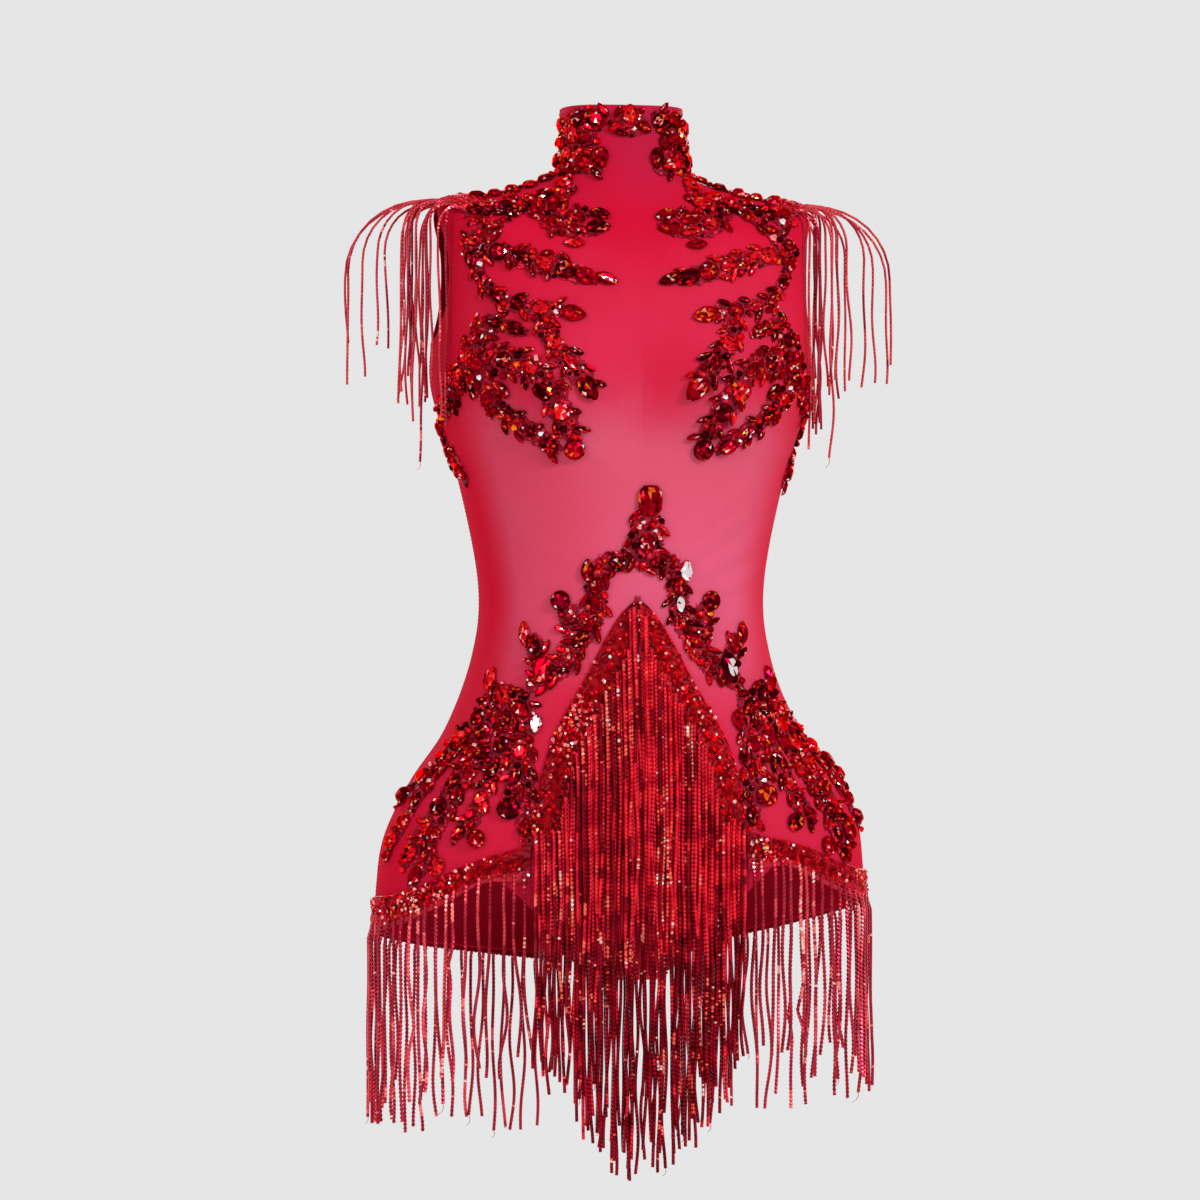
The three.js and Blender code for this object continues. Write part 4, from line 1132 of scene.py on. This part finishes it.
# Sprays of stones: the way of each branch as x, z seen from ahead on the +X half, its width at a stone and
# the distance between its large stones
SPRAYS = {
    "shoulder": [
        {"via": [(25, 36), (40, 30), (47, 12)], "wide": 12, "pitch": 15},
        {"via": [(45, 24), (50, -4), (63, -28)], "wide": 20, "pitch": 18},
        {"via": [(45, 14), (32, 13), (18, 11)], "wide": 14, "pitch": 21},
        {"via": [(58, -16), (94, -20), (129, -30)], "wide": 11, "pitch": 16},
        {"via": [(80, -19), (52, -43), (19, -40)], "wide": 14, "pitch": 18},
        {"via": [(71, -17), (108, -41), (131, -56)], "wide": 10, "pitch": 18},
        {"via": [(131, -56), (92, -64), (31, -84)], "wide": 15, "pitch": 18},
        {"via": [(129, -58), (104, -98), (50, -110)], "wide": 12, "pitch": 18},
        {"via": [(74, -106), (68, -134), (38, -171)], "wide": 14, "pitch": 19},
    ],
    "bust": [
        {"via": [(132, -148), (112, -118), (86, -126)], "wide": 12, "pitch": 17},
        {"via": [(132, -147), (86, -152), (48, -210)], "wide": 17, "pitch": 19},
        {"via": [(132, -149), (104, -184), (60, -215)], "wide": 13, "pitch": 18},
        {"via": [(131, -148), (143, -190), (124, -238)], "wide": 14, "pitch": 18},
    ],
    "hip": [
        {"via": [(104, -398), (98, -408), (82, -420)], "wide": 14, "pitch": 15},
        {"via": [(103, -396), (124, -428), (180, -486)], "wide": 16, "pitch": 19},
        {"via": [(98, -406), (136, -462), (178, -530)], "wide": 17, "pitch": 20},
        {"via": [(92, -412), (110, -456), (133, -508)], "wide": 14, "pitch": 20},
        {"via": [(82, -418), (91, -450), (102, -493)], "wide": 13, "pitch": 19},
    ],
}
CREST_COLUMN = {"via": [(8, -264), (7, -286), (7, -308)], "wide": 22, "pitch": 16}
CREST = [
    {"via": [(7, -302), (24, -302), (33, -318)], "wide": 12, "pitch": 15},
    {"via": [(32, -312), (34, -346), (49, -368)], "wide": 12, "pitch": 17},
    {"via": [(47, -366), (50, -352), (55, -332)], "wide": 12, "pitch": 17},
    {"via": [(46, -364), (58, -382), (72, -388)], "wide": 15, "pitch": 17},
    {"via": [(69, -388), (75, -374), (80, -357)], "wide": 11, "pitch": 17},
    {"via": [(64, -386), (74, -393), (84, -396)], "wide": 12, "pitch": 12},
]
MOTIF = [
    {"via": [(0, 57), (0, 46), (0, 34)], "wide": 15, "pitch": 11},
    {"via": [(-15, 39), (0, 48), (15, 39)], "wide": 9, "pitch": 10},
]
SPRAY = {"clear": 0.9, "thick": 0.9}
# Branches of small stones alone, where the sprays are widest
FILL = {
    "shoulder": [
        {"via": [(18, 46), (30, 50), (43, 49)], "wide": 15, "pitch": 14},
        {"via": [(24, 26), (34, 24), (44, 20)], "wide": 14, "pitch": 14},
        {"via": [(58, -12), (88, -22), (126, -34)], "wide": 17, "pitch": 17},
        {"via": [(45.5, 52), (46.6, 30), (50, 12)], "wide": 11, "pitch": 15},
        {"via": [(55, 4), (84, -8), (126, -18)], "wide": 13, "pitch": 16},
        {"via": [(36, -34), (56, -32), (72, -24)], "wide": 18, "pitch": 16},
        {"via": [(52, -74), (84, -68), (112, -58)], "wide": 16, "pitch": 17},
    ],
    "hip": [
        {"via": [(84, -410), (104, -420), (128, -446)], "wide": 20, "pitch": 17},
        {"via": [(96, -440), (118, -476), (142, -512)], "wide": 10, "pitch": 17},
        {"via": [(126, -434), (160, -474), (188, -520)], "wide": 13, "pitch": 18},
        {"via": [(112, -440), (148, -494), (172, -546)], "wide": 12, "pitch": 18},
        {"via": [(84, -436), (88, -470), (88, -512)], "wide": 11, "pitch": 17},
    ],
}
# The largest stones: spray, place seen from ahead on the +X half, half length and half width, the way that
# the long side runs from +X in degrees, cut, and main look on the +X half and on the other
# A main look of clear or flame is a painted white highlight or orange flash on that stone
PLACED_PARTS = ("spray", "at", "half", "turn", "cut", "looks")
PLACED_ROWS = [
    ("shoulder", (21, 17), (8.5, 6), -95, "pear", ("garnet", "ruby")),
    ("shoulder", (40, 38), (8, 5), 80, "emerald", ("ruby", "red")),
    ("shoulder", (26, -31), (8.5, 5.5), 184, "oval", ("ruby", "garnet")),
    ("shoulder", (57, -20), (8, 4.6), 150, "emerald", ("red", "ruby")),
    ("shoulder", (48, -55), (8, 4.4), 168, "marquise", ("ruby", "red")),
    ("shoulder", (24, -83), (9, 5), 196, "pear", ("garnet", "ruby")),
    ("shoulder", (51, -111), (10, 7), 186, "pear", ("flame", "ruby")),
    ("shoulder", (43, -168), (11, 8), 232, "pear", ("ruby", "garnet")),
    ("bust", (50, -213), (8.5, 8.5), 0, "round", ("garnet", "ruby")),
    ("bust", (69, -210), (8, 6.5), 200, "oval", ("ruby", "garnet")),
    ("bust", (76, -170), (8, 6.5), 215, "emerald", ("red", "garnet")),
    ("bust", (104, -168), (9, 5), 222, "oval", ("garnet", "ruby")),
    ("crest", (38, -307), (9, 5.5), 92, "pear", ("clear", "garnet")),
    ("crest", (33, -334), (7.5, 4.2), 90, "oval", ("clear", "ruby")),
    ("crest", (58, -331), (8, 8), 0, "round", ("garnet", "garnet")),
    ("crest", (84, -357), (9.5, 4.8), 80, "marquise", ("ruby", "red")),
    ("crest", (72, -384), (12, 7), 92, "emerald", ("clear", "ruby")),
    ("hip", (108, -392), (9.5, 6), 96, "pear", ("ruby", "red")),
    ("hip", (78, -426), (8, 5.4), -100, "pear", ("ruby", "clear")),
    ("hip", (100, -487), (9.5, 8.6), 0, "oval", ("flame", "garnet")),
    ("hip", (124, -509), (7.4, 7.4), 0, "round", ("garnet", "ruby")),
    ("hip", (153, -530), (8.4, 6.6), -58, "oval", ("ruby", "red")),
]
PLACED = [dict(zip(PLACED_PARTS, row)) for row in PLACED_ROWS]
CREST_TOP = {"at": (9, -253), "half": (12, 9.6), "turn": 90, "cut": "emerald", "looks": ("ruby", "ruby")}


def smooth_path(via, count):
    """A curve through three places, as Catmull-Rom with even steps."""
    via = np.array(via, float)
    padded = np.vstack([2 * via[0] - via[1], via, 2 * via[-1] - via[-2]])
    out = []
    for i in range(len(via) - 1):
        a, b, c, d = padded[i:i + 4]
        t = np.linspace(0, 1, 40, endpoint=False)[:, None]
        out.append(smooth_between(a, b, c, d, t))
    path = np.vstack([*out, via[-1:]])
    length = way_along(path)
    stops = np.linspace(0, length[-1], count)
    return np.stack([np.interp(stops, length, path[:, k]) for k in (0, 1)], -1), length[-1]


def on_branch(path, share, aside, hand):
    """Places beside a branch's path, given by shares of its way and distances to one side."""
    stops = share * (len(path) - 1)
    x, z = (np.interp(stops, np.arange(len(path)), path[:, k]) for k in (0, 1))
    way = np.gradient(path, axis=0)
    wx, wz = (np.interp(stops, np.arange(len(path)), way[:, k]) for k in (0, 1))
    round_, level = on_front(hand * x, tilted(hand * x, z))
    across, down, outward = form_frame(round_, level)
    along = unit(unit(across) * (hand * wx / np.maximum(unit(across)[:, 0], 0.25))[:, None]
                 + unit(down) * (-wz / np.maximum(-unit(down)[:, 2], 0.25))[:, None])
    side = np.cross(outward, along)
    shift = side * aside[:, None]
    round_ = round_ + (shift * unit(across)).sum(-1) / np.linalg.norm(across, axis=-1)
    level = level + (shift * unit(down)).sum(-1) / np.linalg.norm(down, axis=-1)
    return round_, level, along


CUT_STEPS = 12


def cut_outline(cut):
    """Outline of a stone as shares of its half length and half width."""
    t = np.arange(CUT_STEPS) * 2 * math.pi / CUT_STEPS
    x, y = np.cos(t), np.sin(t)
    if cut == "oval":
        return np.stack([x, y * 0.74], -1)
    if cut == "pear":
        return np.stack([x * 1.05 - 0.05, y * 0.74 * (1 - 0.42 * (x > 0) * np.abs(x) ** 1.3)], -1)
    if cut == "marquise":
        return np.stack([x * 1.08, np.sign(y) * np.abs(y) ** 1.4 * 0.52], -1)
    if cut == "emerald":
        square = np.maximum(np.abs(x), np.abs(y)) ** 0.75
        return np.stack([x / square, y / square * 0.76], -1)
    return np.stack([x, y], -1)


def stone_shape(cut):
    """A faceted crown with a flat table over a straight girdle, one high and one long in half."""
    outline = cut_outline(cut)
    half_turned = (outline + np.roll(outline, -1, axis=0)) / 2
    rings = [(outline, 0.96, 0.0), (outline, 1.0, 0.3), (half_turned, 0.86, 0.68), (outline, 0.58, 1.0)]
    rings = [np.column_stack([ring * size, np.full(CUT_STEPS, high)]) for ring, size, high in rings]
    points = np.vstack([*rings, [[0, 0, 1.0]]])
    k = np.arange(CUT_STEPS)
    after = (k + 1) % CUT_STEPS
    ring = [k + CUT_STEPS * i for i in range(4)]
    next_ring = [after + CUT_STEPS * i for i in range(4)]
    faces = [
        (ring[0], next_ring[0], next_ring[1]), (ring[0], next_ring[1], ring[1]),
        (ring[1], next_ring[1], ring[2]), (next_ring[1], next_ring[2], ring[2]),
        (ring[2], next_ring[2], next_ring[3]), (ring[2], next_ring[3], ring[3]),
        (ring[3], next_ring[3], np.full(CUT_STEPS, 4 * CUT_STEPS)),
    ]
    return points, np.concatenate([np.stack(f, -1) for f in faces])


STONE_SHAPES = {cut: stone_shape(cut) for cut in ("round", "oval", "pear", "marquise", "emerald")}
small = np.arange(6) * math.pi / 3
SMALL_STONE = np.concatenate([
    np.stack([np.cos(small), np.sin(small), np.zeros(6)], -1),
    np.stack([0.93 * np.cos(small), 0.93 * np.sin(small), np.full(6, 0.45)], -1),
    np.stack([0.5 * np.cos(small + 0.5), 0.5 * np.sin(small + 0.5), np.full(6, 0.95)], -1),
    [[0, 0, 1.0]],
])
small_now, small_next = np.arange(6), (np.arange(6) + 1) % 6
SMALL_FACES = np.concatenate([
    np.stack([small_now, small_next, small_next + 6], -1),
    np.stack([small_now, small_next + 6, small_now + 6], -1),
    np.stack([small_now + 6, small_next + 6, small_now + 12], -1),
    np.stack([small_next + 6, small_next + 12, small_now + 12], -1),
    np.stack([small_now + 12, small_next + 12, np.full(6, 18)], -1),
])

spray_looks = [backing, *stone_materials]
FIRST_CUT = 1
# Large stones along a branch, and slim ones beside it: sizes, and shares of garnet, ruby and red
LARGE = {"high": 4.3, "widest": 8, "tip": 1.1, "size": 0.95, "less": 0.1, "looks": [0.38, 0.42, 0.2]}
SLIM = {
    "pitch": 7.5, "aside": 1.6, "clear": 2.4, "long": (4.8, 7.0), "wide": (2.3, 3.0), "high": 3.0,
    "turn": (22, 52), "looks": [0.32, 0.42, 0.26],
}


# Passes of small stones: how many to a square millimetre, radii, reach beside the branch, stone or sequin
SMALL_SIZES = [(0.2, (2.6, 3.8), 3.2, True), (0.42, (1.3, 2.1), 2.6, True), (0.5, (0.9, 1.4), 2.0, False)]


class Spray:
    """One appliqué: a backing, its large stones, and small stones and sequins between them."""

    def __init__(self):
        self.gathered = Gathered()
        self.at = np.zeros((0, 3))
        self.reach = np.zeros(0)

    def backing_strip(self, path, wide, hand):
        count = 34
        share = np.linspace(0, 1, count)
        wave = 1 + 0.16 * np.sin(share * len(path) * 0.9 + wide)
        taper = np.minimum(1, 0.45 + 4 * np.minimum(share, 1 - share))
        half = (wide / 2 + 1.8) * wave * taper
        columns = [on_branch(path, share, half * side, hand)[:2] for side in np.linspace(1, -1, 7)]
        round_, level = as_grid(columns)
        low = CLOTH + 0.35
        self.gathered.add(*wall(skin(round_, level, low + SPRAY["thick"]), skin(round_, level, low)))

    def clear_of(self, at, reach):
        """Whether a stone finds room between those that are already there."""
        if not len(self.at):
            return True
        return bool((np.linalg.norm(self.at - at, axis=1) > (self.reach + reach) * 0.93).all())

    def take(self, at, reach):
        self.at = np.vstack([self.at, at])
        self.reach = np.append(self.reach, reach)

    def stone(self, at, ways, half, high, cut, main, share=0.6, accent=0.03):
        """One large stone. share is that of its facets with the main look, accent that of painted flashes.
        """
        points, faces = STONE_SHAPES[cut]
        other = draw.choice(len(stone_materials), len(faces), p=facet_shares)
        look = FIRST_CUT + np.where(draw.random(len(faces)) < share, main, other)
        look[draw.random(len(faces)) < accent] = FIRST_CUT + LOOK_NUMBER["flame"]
        # A clear emerald shows its painted white highlight on its table alone
        if cut == "emerald" and main == LOOK_NUMBER["clear"]:
            look[:-CUT_STEPS] = FIRST_CUT + LOOK_NUMBER["garnet"]
        narrow = np.ptp(points[:, 1]) / 2
        local = points * [half[0], half[1] / narrow, high]
        self.gathered.add(at + local @ np.stack(ways), faces, look)
        for step in (-0.45, 0, 0.45):
            self.take(at + ways[0] * half[0] * step, half[1] * (0.94 if step else 1.02))

    def placed(self, row, hand):
        """One of the largest stones."""
        x, z = row["at"]
        round_, level = on_front(np.array([hand * x]), tilted(hand * x, np.array([z])))
        across, down, outward = (way[0] for way in form_frame(round_, level))
        turn = math.radians(row["turn"])
        along = unit(unit(across) * hand * math.cos(turn) - unit(down) * math.sin(turn))
        along = unit(along - outward * (along @ outward))
        at = skin(round_, level, np.array([CLOTH + SPRAY["clear"] + 0.6]))[0]
        look = row["looks"][0 if hand > 0 else 1]
        high = min(5.2, 2.4 + row["half"][1] * 0.36)
        # An flame stone is ruby with more painted flash facets; a clear stone is a painted white highlight
        accent = 0.15 if look == "flame" else 0.0 if look == "clear" else 0.04
        main = LOOK_NUMBER["ruby" if look == "flame" else look]
        self.stone(at, (along, np.cross(outward, along), outward), row["half"], high, row["cut"],
                   main, 0.85 if look == "clear" else 0.62, accent)

    def large(self, path, branch, hand, length):
        """Stones in a row along a branch, with a pear at its tip."""
        count = max(1, round(length / branch["pitch"]))
        share = (np.arange(count) + 0.5) / count
        round_, level, along = on_branch(path, share, np.zeros(count), hand)
        outward = form_frame(round_, level)[2]
        aside = np.cross(outward, along)
        at = skin(round_, level, np.full(count, CLOTH + SPRAY["clear"] + 0.4))
        for k in range(count):
            tip = k == count - 1
            size = LARGE["tip"] if tip else LARGE["size"] - LARGE["less"] * (k % 2)
            half = min(branch["wide"] / 2 + 0.6, LARGE["widest"]) * size
            cut = "pear" if tip else ("oval", "round", "marquise")[k % 3]
            if not self.clear_of(at[k], half * 0.7):
                continue
            slim = {"oval": 0.8, "marquise": 0.62, "pear": 0.78}.get(cut, 1.0)
            self.stone(at[k], (along[k], aside[k], outward[k]), (half * 1.12, half * slim),
                       LARGE["high"] * size, cut, draw.choice(3, p=LARGE["looks"]))

    def small(self, path, branch, hand, length, density, sizes, spread, stones):
        """Small stones or sequins wherever there is room on a branch."""
        number = int(length * branch["wide"] * density)
        share = draw.uniform(0, 1, number)
        taper = np.clip(1.3 - share, 0.4, 1) * np.clip(0.6 + 2.5 * share, 0, 1)
        aside = draw.uniform(-1, 1, number) * taper * (branch["wide"] / 2 + spread)
        size = draw.uniform(*sizes, number)
        round_, level, along = on_branch(path, share, aside, hand)
        at = skin(round_, level, np.full(number, CLOTH + 0.9))
        keep = []
        for k in range(number):
            if self.clear_of(at[k], size[k]):
                self.take(at[k], size[k])
                keep.append(k)
        keep = np.array(keep, int)
        if not len(keep):
            return
        # Some of the small stones and sequins take a painted flash or highlight look
        looks = FIRST_CUT + draw.choice(len(stone_materials), len(keep), p=stone_shares)
        ways = place_frames(round_[keep], level[keep], draw.uniform(0, 6.3, len(keep)))
        chosen = np.stack([size[keep]] * 3, -1)
        if stones:
            chosen[:, 2] *= 1.15
            self.gathered.stamp(SMALL_STONE, SMALL_FACES, at[keep], *tipped(*ways, 0.12), chosen, looks)
        else:
            raised = at[keep] + ways[2] * 0.3
            self.gathered.stamp(SEQUIN, SEQUIN_FACES, raised, *tipped(*ways, 0.3), chosen, looks)

    def leaflets(self, path, branch, hand, length):
        """Slim stones that stand out to the sides of a branch, turned towards its tip."""
        number = max(2, int(length / SLIM["pitch"]))
        share = (np.arange(number) + draw.uniform(0.2, 0.8, number)) / number
        sides = np.where(np.arange(number) % 2, 1, -1)
        taper = 0.75 + 0.5 * np.sin(math.pi * np.minimum(share, 0.85))
        aside = sides * (branch["wide"] / 2 * taper + SLIM["aside"])
        round_, level, along = on_branch(path, np.minimum(share, 0.97), aside, hand)
        outward = form_frame(round_, level)[2]
        cross = np.cross(outward, along)
        lean = sides * np.radians(draw.uniform(*SLIM["turn"], number))
        along, cross = (along * np.cos(lean)[:, None] + cross * np.sin(lean)[:, None],
                        cross * np.cos(lean)[:, None] - along * np.sin(lean)[:, None])
        at = skin(round_, level, np.full(number, CLOTH + SPRAY["clear"] + 0.4))
        for k in range(number):
            if not self.clear_of(at[k], SLIM["clear"]):
                continue
            cut = "marquise" if draw.random() < 0.7 else "pear"
            half = (draw.uniform(*SLIM["long"]), draw.uniform(*SLIM["wide"]))
            self.stone(at[k], (along[k], cross[k], outward[k]), half,
                       SLIM["high"], cut, draw.choice(3, p=SLIM["looks"]))

    def build(self, branches, placed):
        """Both lists hold a row and its hand, 1 for +X."""
        paths = [(branch, hand, *smooth_path(branch["via"], 90)) for branch, hand in branches]
        for branch, hand, path, length in paths:
            self.backing_strip(path, branch["wide"], hand)
        for row, hand in placed:
            self.placed(row, hand)
        for branch, hand, path, length in paths:
            self.large(path, branch, hand, length)
        for branch, hand, path, length in paths:
            self.leaflets(path, branch, hand, length)
        for density, sizes, spread, stones in SMALL_SIZES:
            for branch, hand, path, length in paths:
                self.small(path, branch, hand, length, density, sizes, spread, stones)


def make_spray(name, node, branches, placed):
    spray = Spray()
    spray.build(branches, placed)
    spray.gathered.piece(name, spray_looks, slot="stones", standing=[node])


make_spray("collar_stones", "collar_motif", [(branch, 1) for branch in MOTIF], [])
crest_rows = [(row, hand) for row in PLACED if row["spray"] == "crest" for hand in (1, -1)]
make_spray("crest_stones", "waist_crest", [(CREST_COLUMN, 1), *[(b, h) for h in (1, -1) for b in CREST]],
           [(CREST_TOP, 1), *crest_rows])
for hand, side_name in SIDE.items():
    for kind, branches in SPRAYS.items():
        rows = [(row, hand) for row in PLACED if row["spray"] == kind]
        branches = [(branch, hand) for branch in [*branches, *FILL.get(kind, [])]]
        make_spray(f"{kind}_stones_{side_name}", f"{kind}_spray_{side_name}", branches, rows)

# Stitching: short threads along the turned edges and seams
STITCH = {"length": 2.2, "pitch": 3.2, "half": 0.22, "on_edge": 0.5, "on_seam": 0.1}
stitch_box = np.array([[x, y, z] for x in (-0.5, 0.5) for y in (-1, 1) for z in (-1, 1)], float)
STITCH_FACES = [[0, 1, 3, 2], [4, 6, 7, 5], [0, 4, 5, 1], [2, 3, 7, 6], [0, 2, 6, 4], [1, 5, 7, 3]]
stitches = Gathered()


def stitch_line(round_, level, lift):
    """A row of stitches through places on the form."""
    round_, level = np.broadcast_arrays(round_, level)
    path = resampled(skin(round_, level, CLOTH + lift), STITCH["pitch"])
    stops = np.linspace(0, len(round_) - 1, len(path))
    normals = form_frame(*at_stops([(round_, level)], stops)[0])[2]
    along = unit(np.gradient(path, axis=0))
    aside = unit(np.cross(normals, along))
    sizes = np.tile([STITCH["length"], STITCH["half"], STITCH["half"]], (len(path), 1))
    looks = np.zeros(len(path), int)
    stitches.stamp(stitch_box, STITCH_FACES, path, along, aside, normals, sizes, looks)


ahead, behind = np.radians(np.linspace(-89, 89, 90)), np.radians(np.linspace(91, 179, 50))
for below_top in (0.16, 0.2):
    for turns in (ahead, behind, -behind):
        stitch_line(turns, below_top, STITCH["on_edge"])
# Lines beside the side seams and the centre back seam: degrees from the centre front, first and last
# level, and how many places
SEAM_LINES = [(91.2, 8.2, 16.2, 120), (92.5, 0.3, 4.4, 60), (178.2, 0.3, 16.8, 240)]
INSET = math.radians(3.0)
for hand in (1, -1):
    for degrees, start, stop, count in SEAM_LINES:
        stitch_line(hand * math.radians(degrees), np.linspace(start, stop, count), STITCH["on_seam"])
    beside = np.linspace(5.02, 7.98, 60)
    fore_edge = armhole_edge(beside, ARMHOLE["front"]) - INSET
    aft_edge = math.pi - armhole_edge(beside, ARMHOLE["back"]) + INSET
    for edge in (fore_edge, aft_edge):
        stitch_line(hand * edge, beside, STITCH["on_seam"])
    arch = hand * np.radians(np.linspace(10, 24, 30))
    stitch_line(arch, level_at(arch, hem_height(arch) + 6), STITCH["on_edge"])
stitches.piece("stitching", [thread], slot="mesh")

# Floor, light and camera
FLOOR = -1.42
bpy.ops.mesh.primitive_plane_add(size=5, location=(0, 0, FLOOR))
floor = bpy.context.object
floor.name = "floor"
floor.data.materials.append(material("pale_floor", [(0.78, 0.78, 0.78), (0.82, 0.82, 0.82)], 2, 0.8)[0])

world = bpy.data.worlds.new("studio")
bpy.context.scene.world = world
world.use_nodes = True
world.node_tree.nodes["Background"].inputs["Color"].default_value = (0.83, 0.83, 0.83, 1)
world.node_tree.nodes["Background"].inputs["Strength"].default_value = 0.95

AIM = Vector((0, 0, -0.33))


def soft_light(name, place, size, power):
    lamp = bpy.data.lights.new(name, "AREA")
    lamp.shape = "DISK"
    lamp.size = size
    lamp.energy = power
    made = bpy.data.objects.new(name, lamp)
    made.location = place
    made.rotation_euler = (AIM - Vector(place)).to_track_quat("-Z", "Y").to_euler()
    bpy.context.scene.collection.objects.link(made)


# Name, place, size and power of each light
LIGHTS = [
    ("key", (1.6, -2.2, 0.9), 0.6, 50),
    ("fill", (-1.9, -1.8, 0.2), 1.2, 14),
    ("glint", (0.2, -2.6, 1.6), 0.2, 8),
    ("back_left", (-1.3, 2.0, 0.8), 1.0, 16),
    ("back_right", (1.4, 1.8, 0.5), 1.0, 12),
]
for light in LIGHTS:
    soft_light(*light)

CAMERA = {"distance": 2.8, "turn": -8, "height": -0.3304, "aside": -0.0168, "lens": 105}
turn = math.radians(CAMERA["turn"])
right = Vector((math.cos(turn), math.sin(turn), 0))
target = Vector((0, 0, CAMERA["height"])) + right * CAMERA["aside"]
camera = bpy.data.objects.new("camera", bpy.data.cameras.new("camera"))
camera.data.lens = CAMERA["lens"]
camera.location = target + Vector((math.sin(turn), -math.cos(turn), 0)) * CAMERA["distance"]
camera.rotation_euler = (target - camera.location).to_track_quat("-Z", "Y").to_euler()
bpy.context.scene.collection.objects.link(camera)
bpy.context.scene.camera = camera
bpy.context.scene.view_settings.view_transform = "Standard"
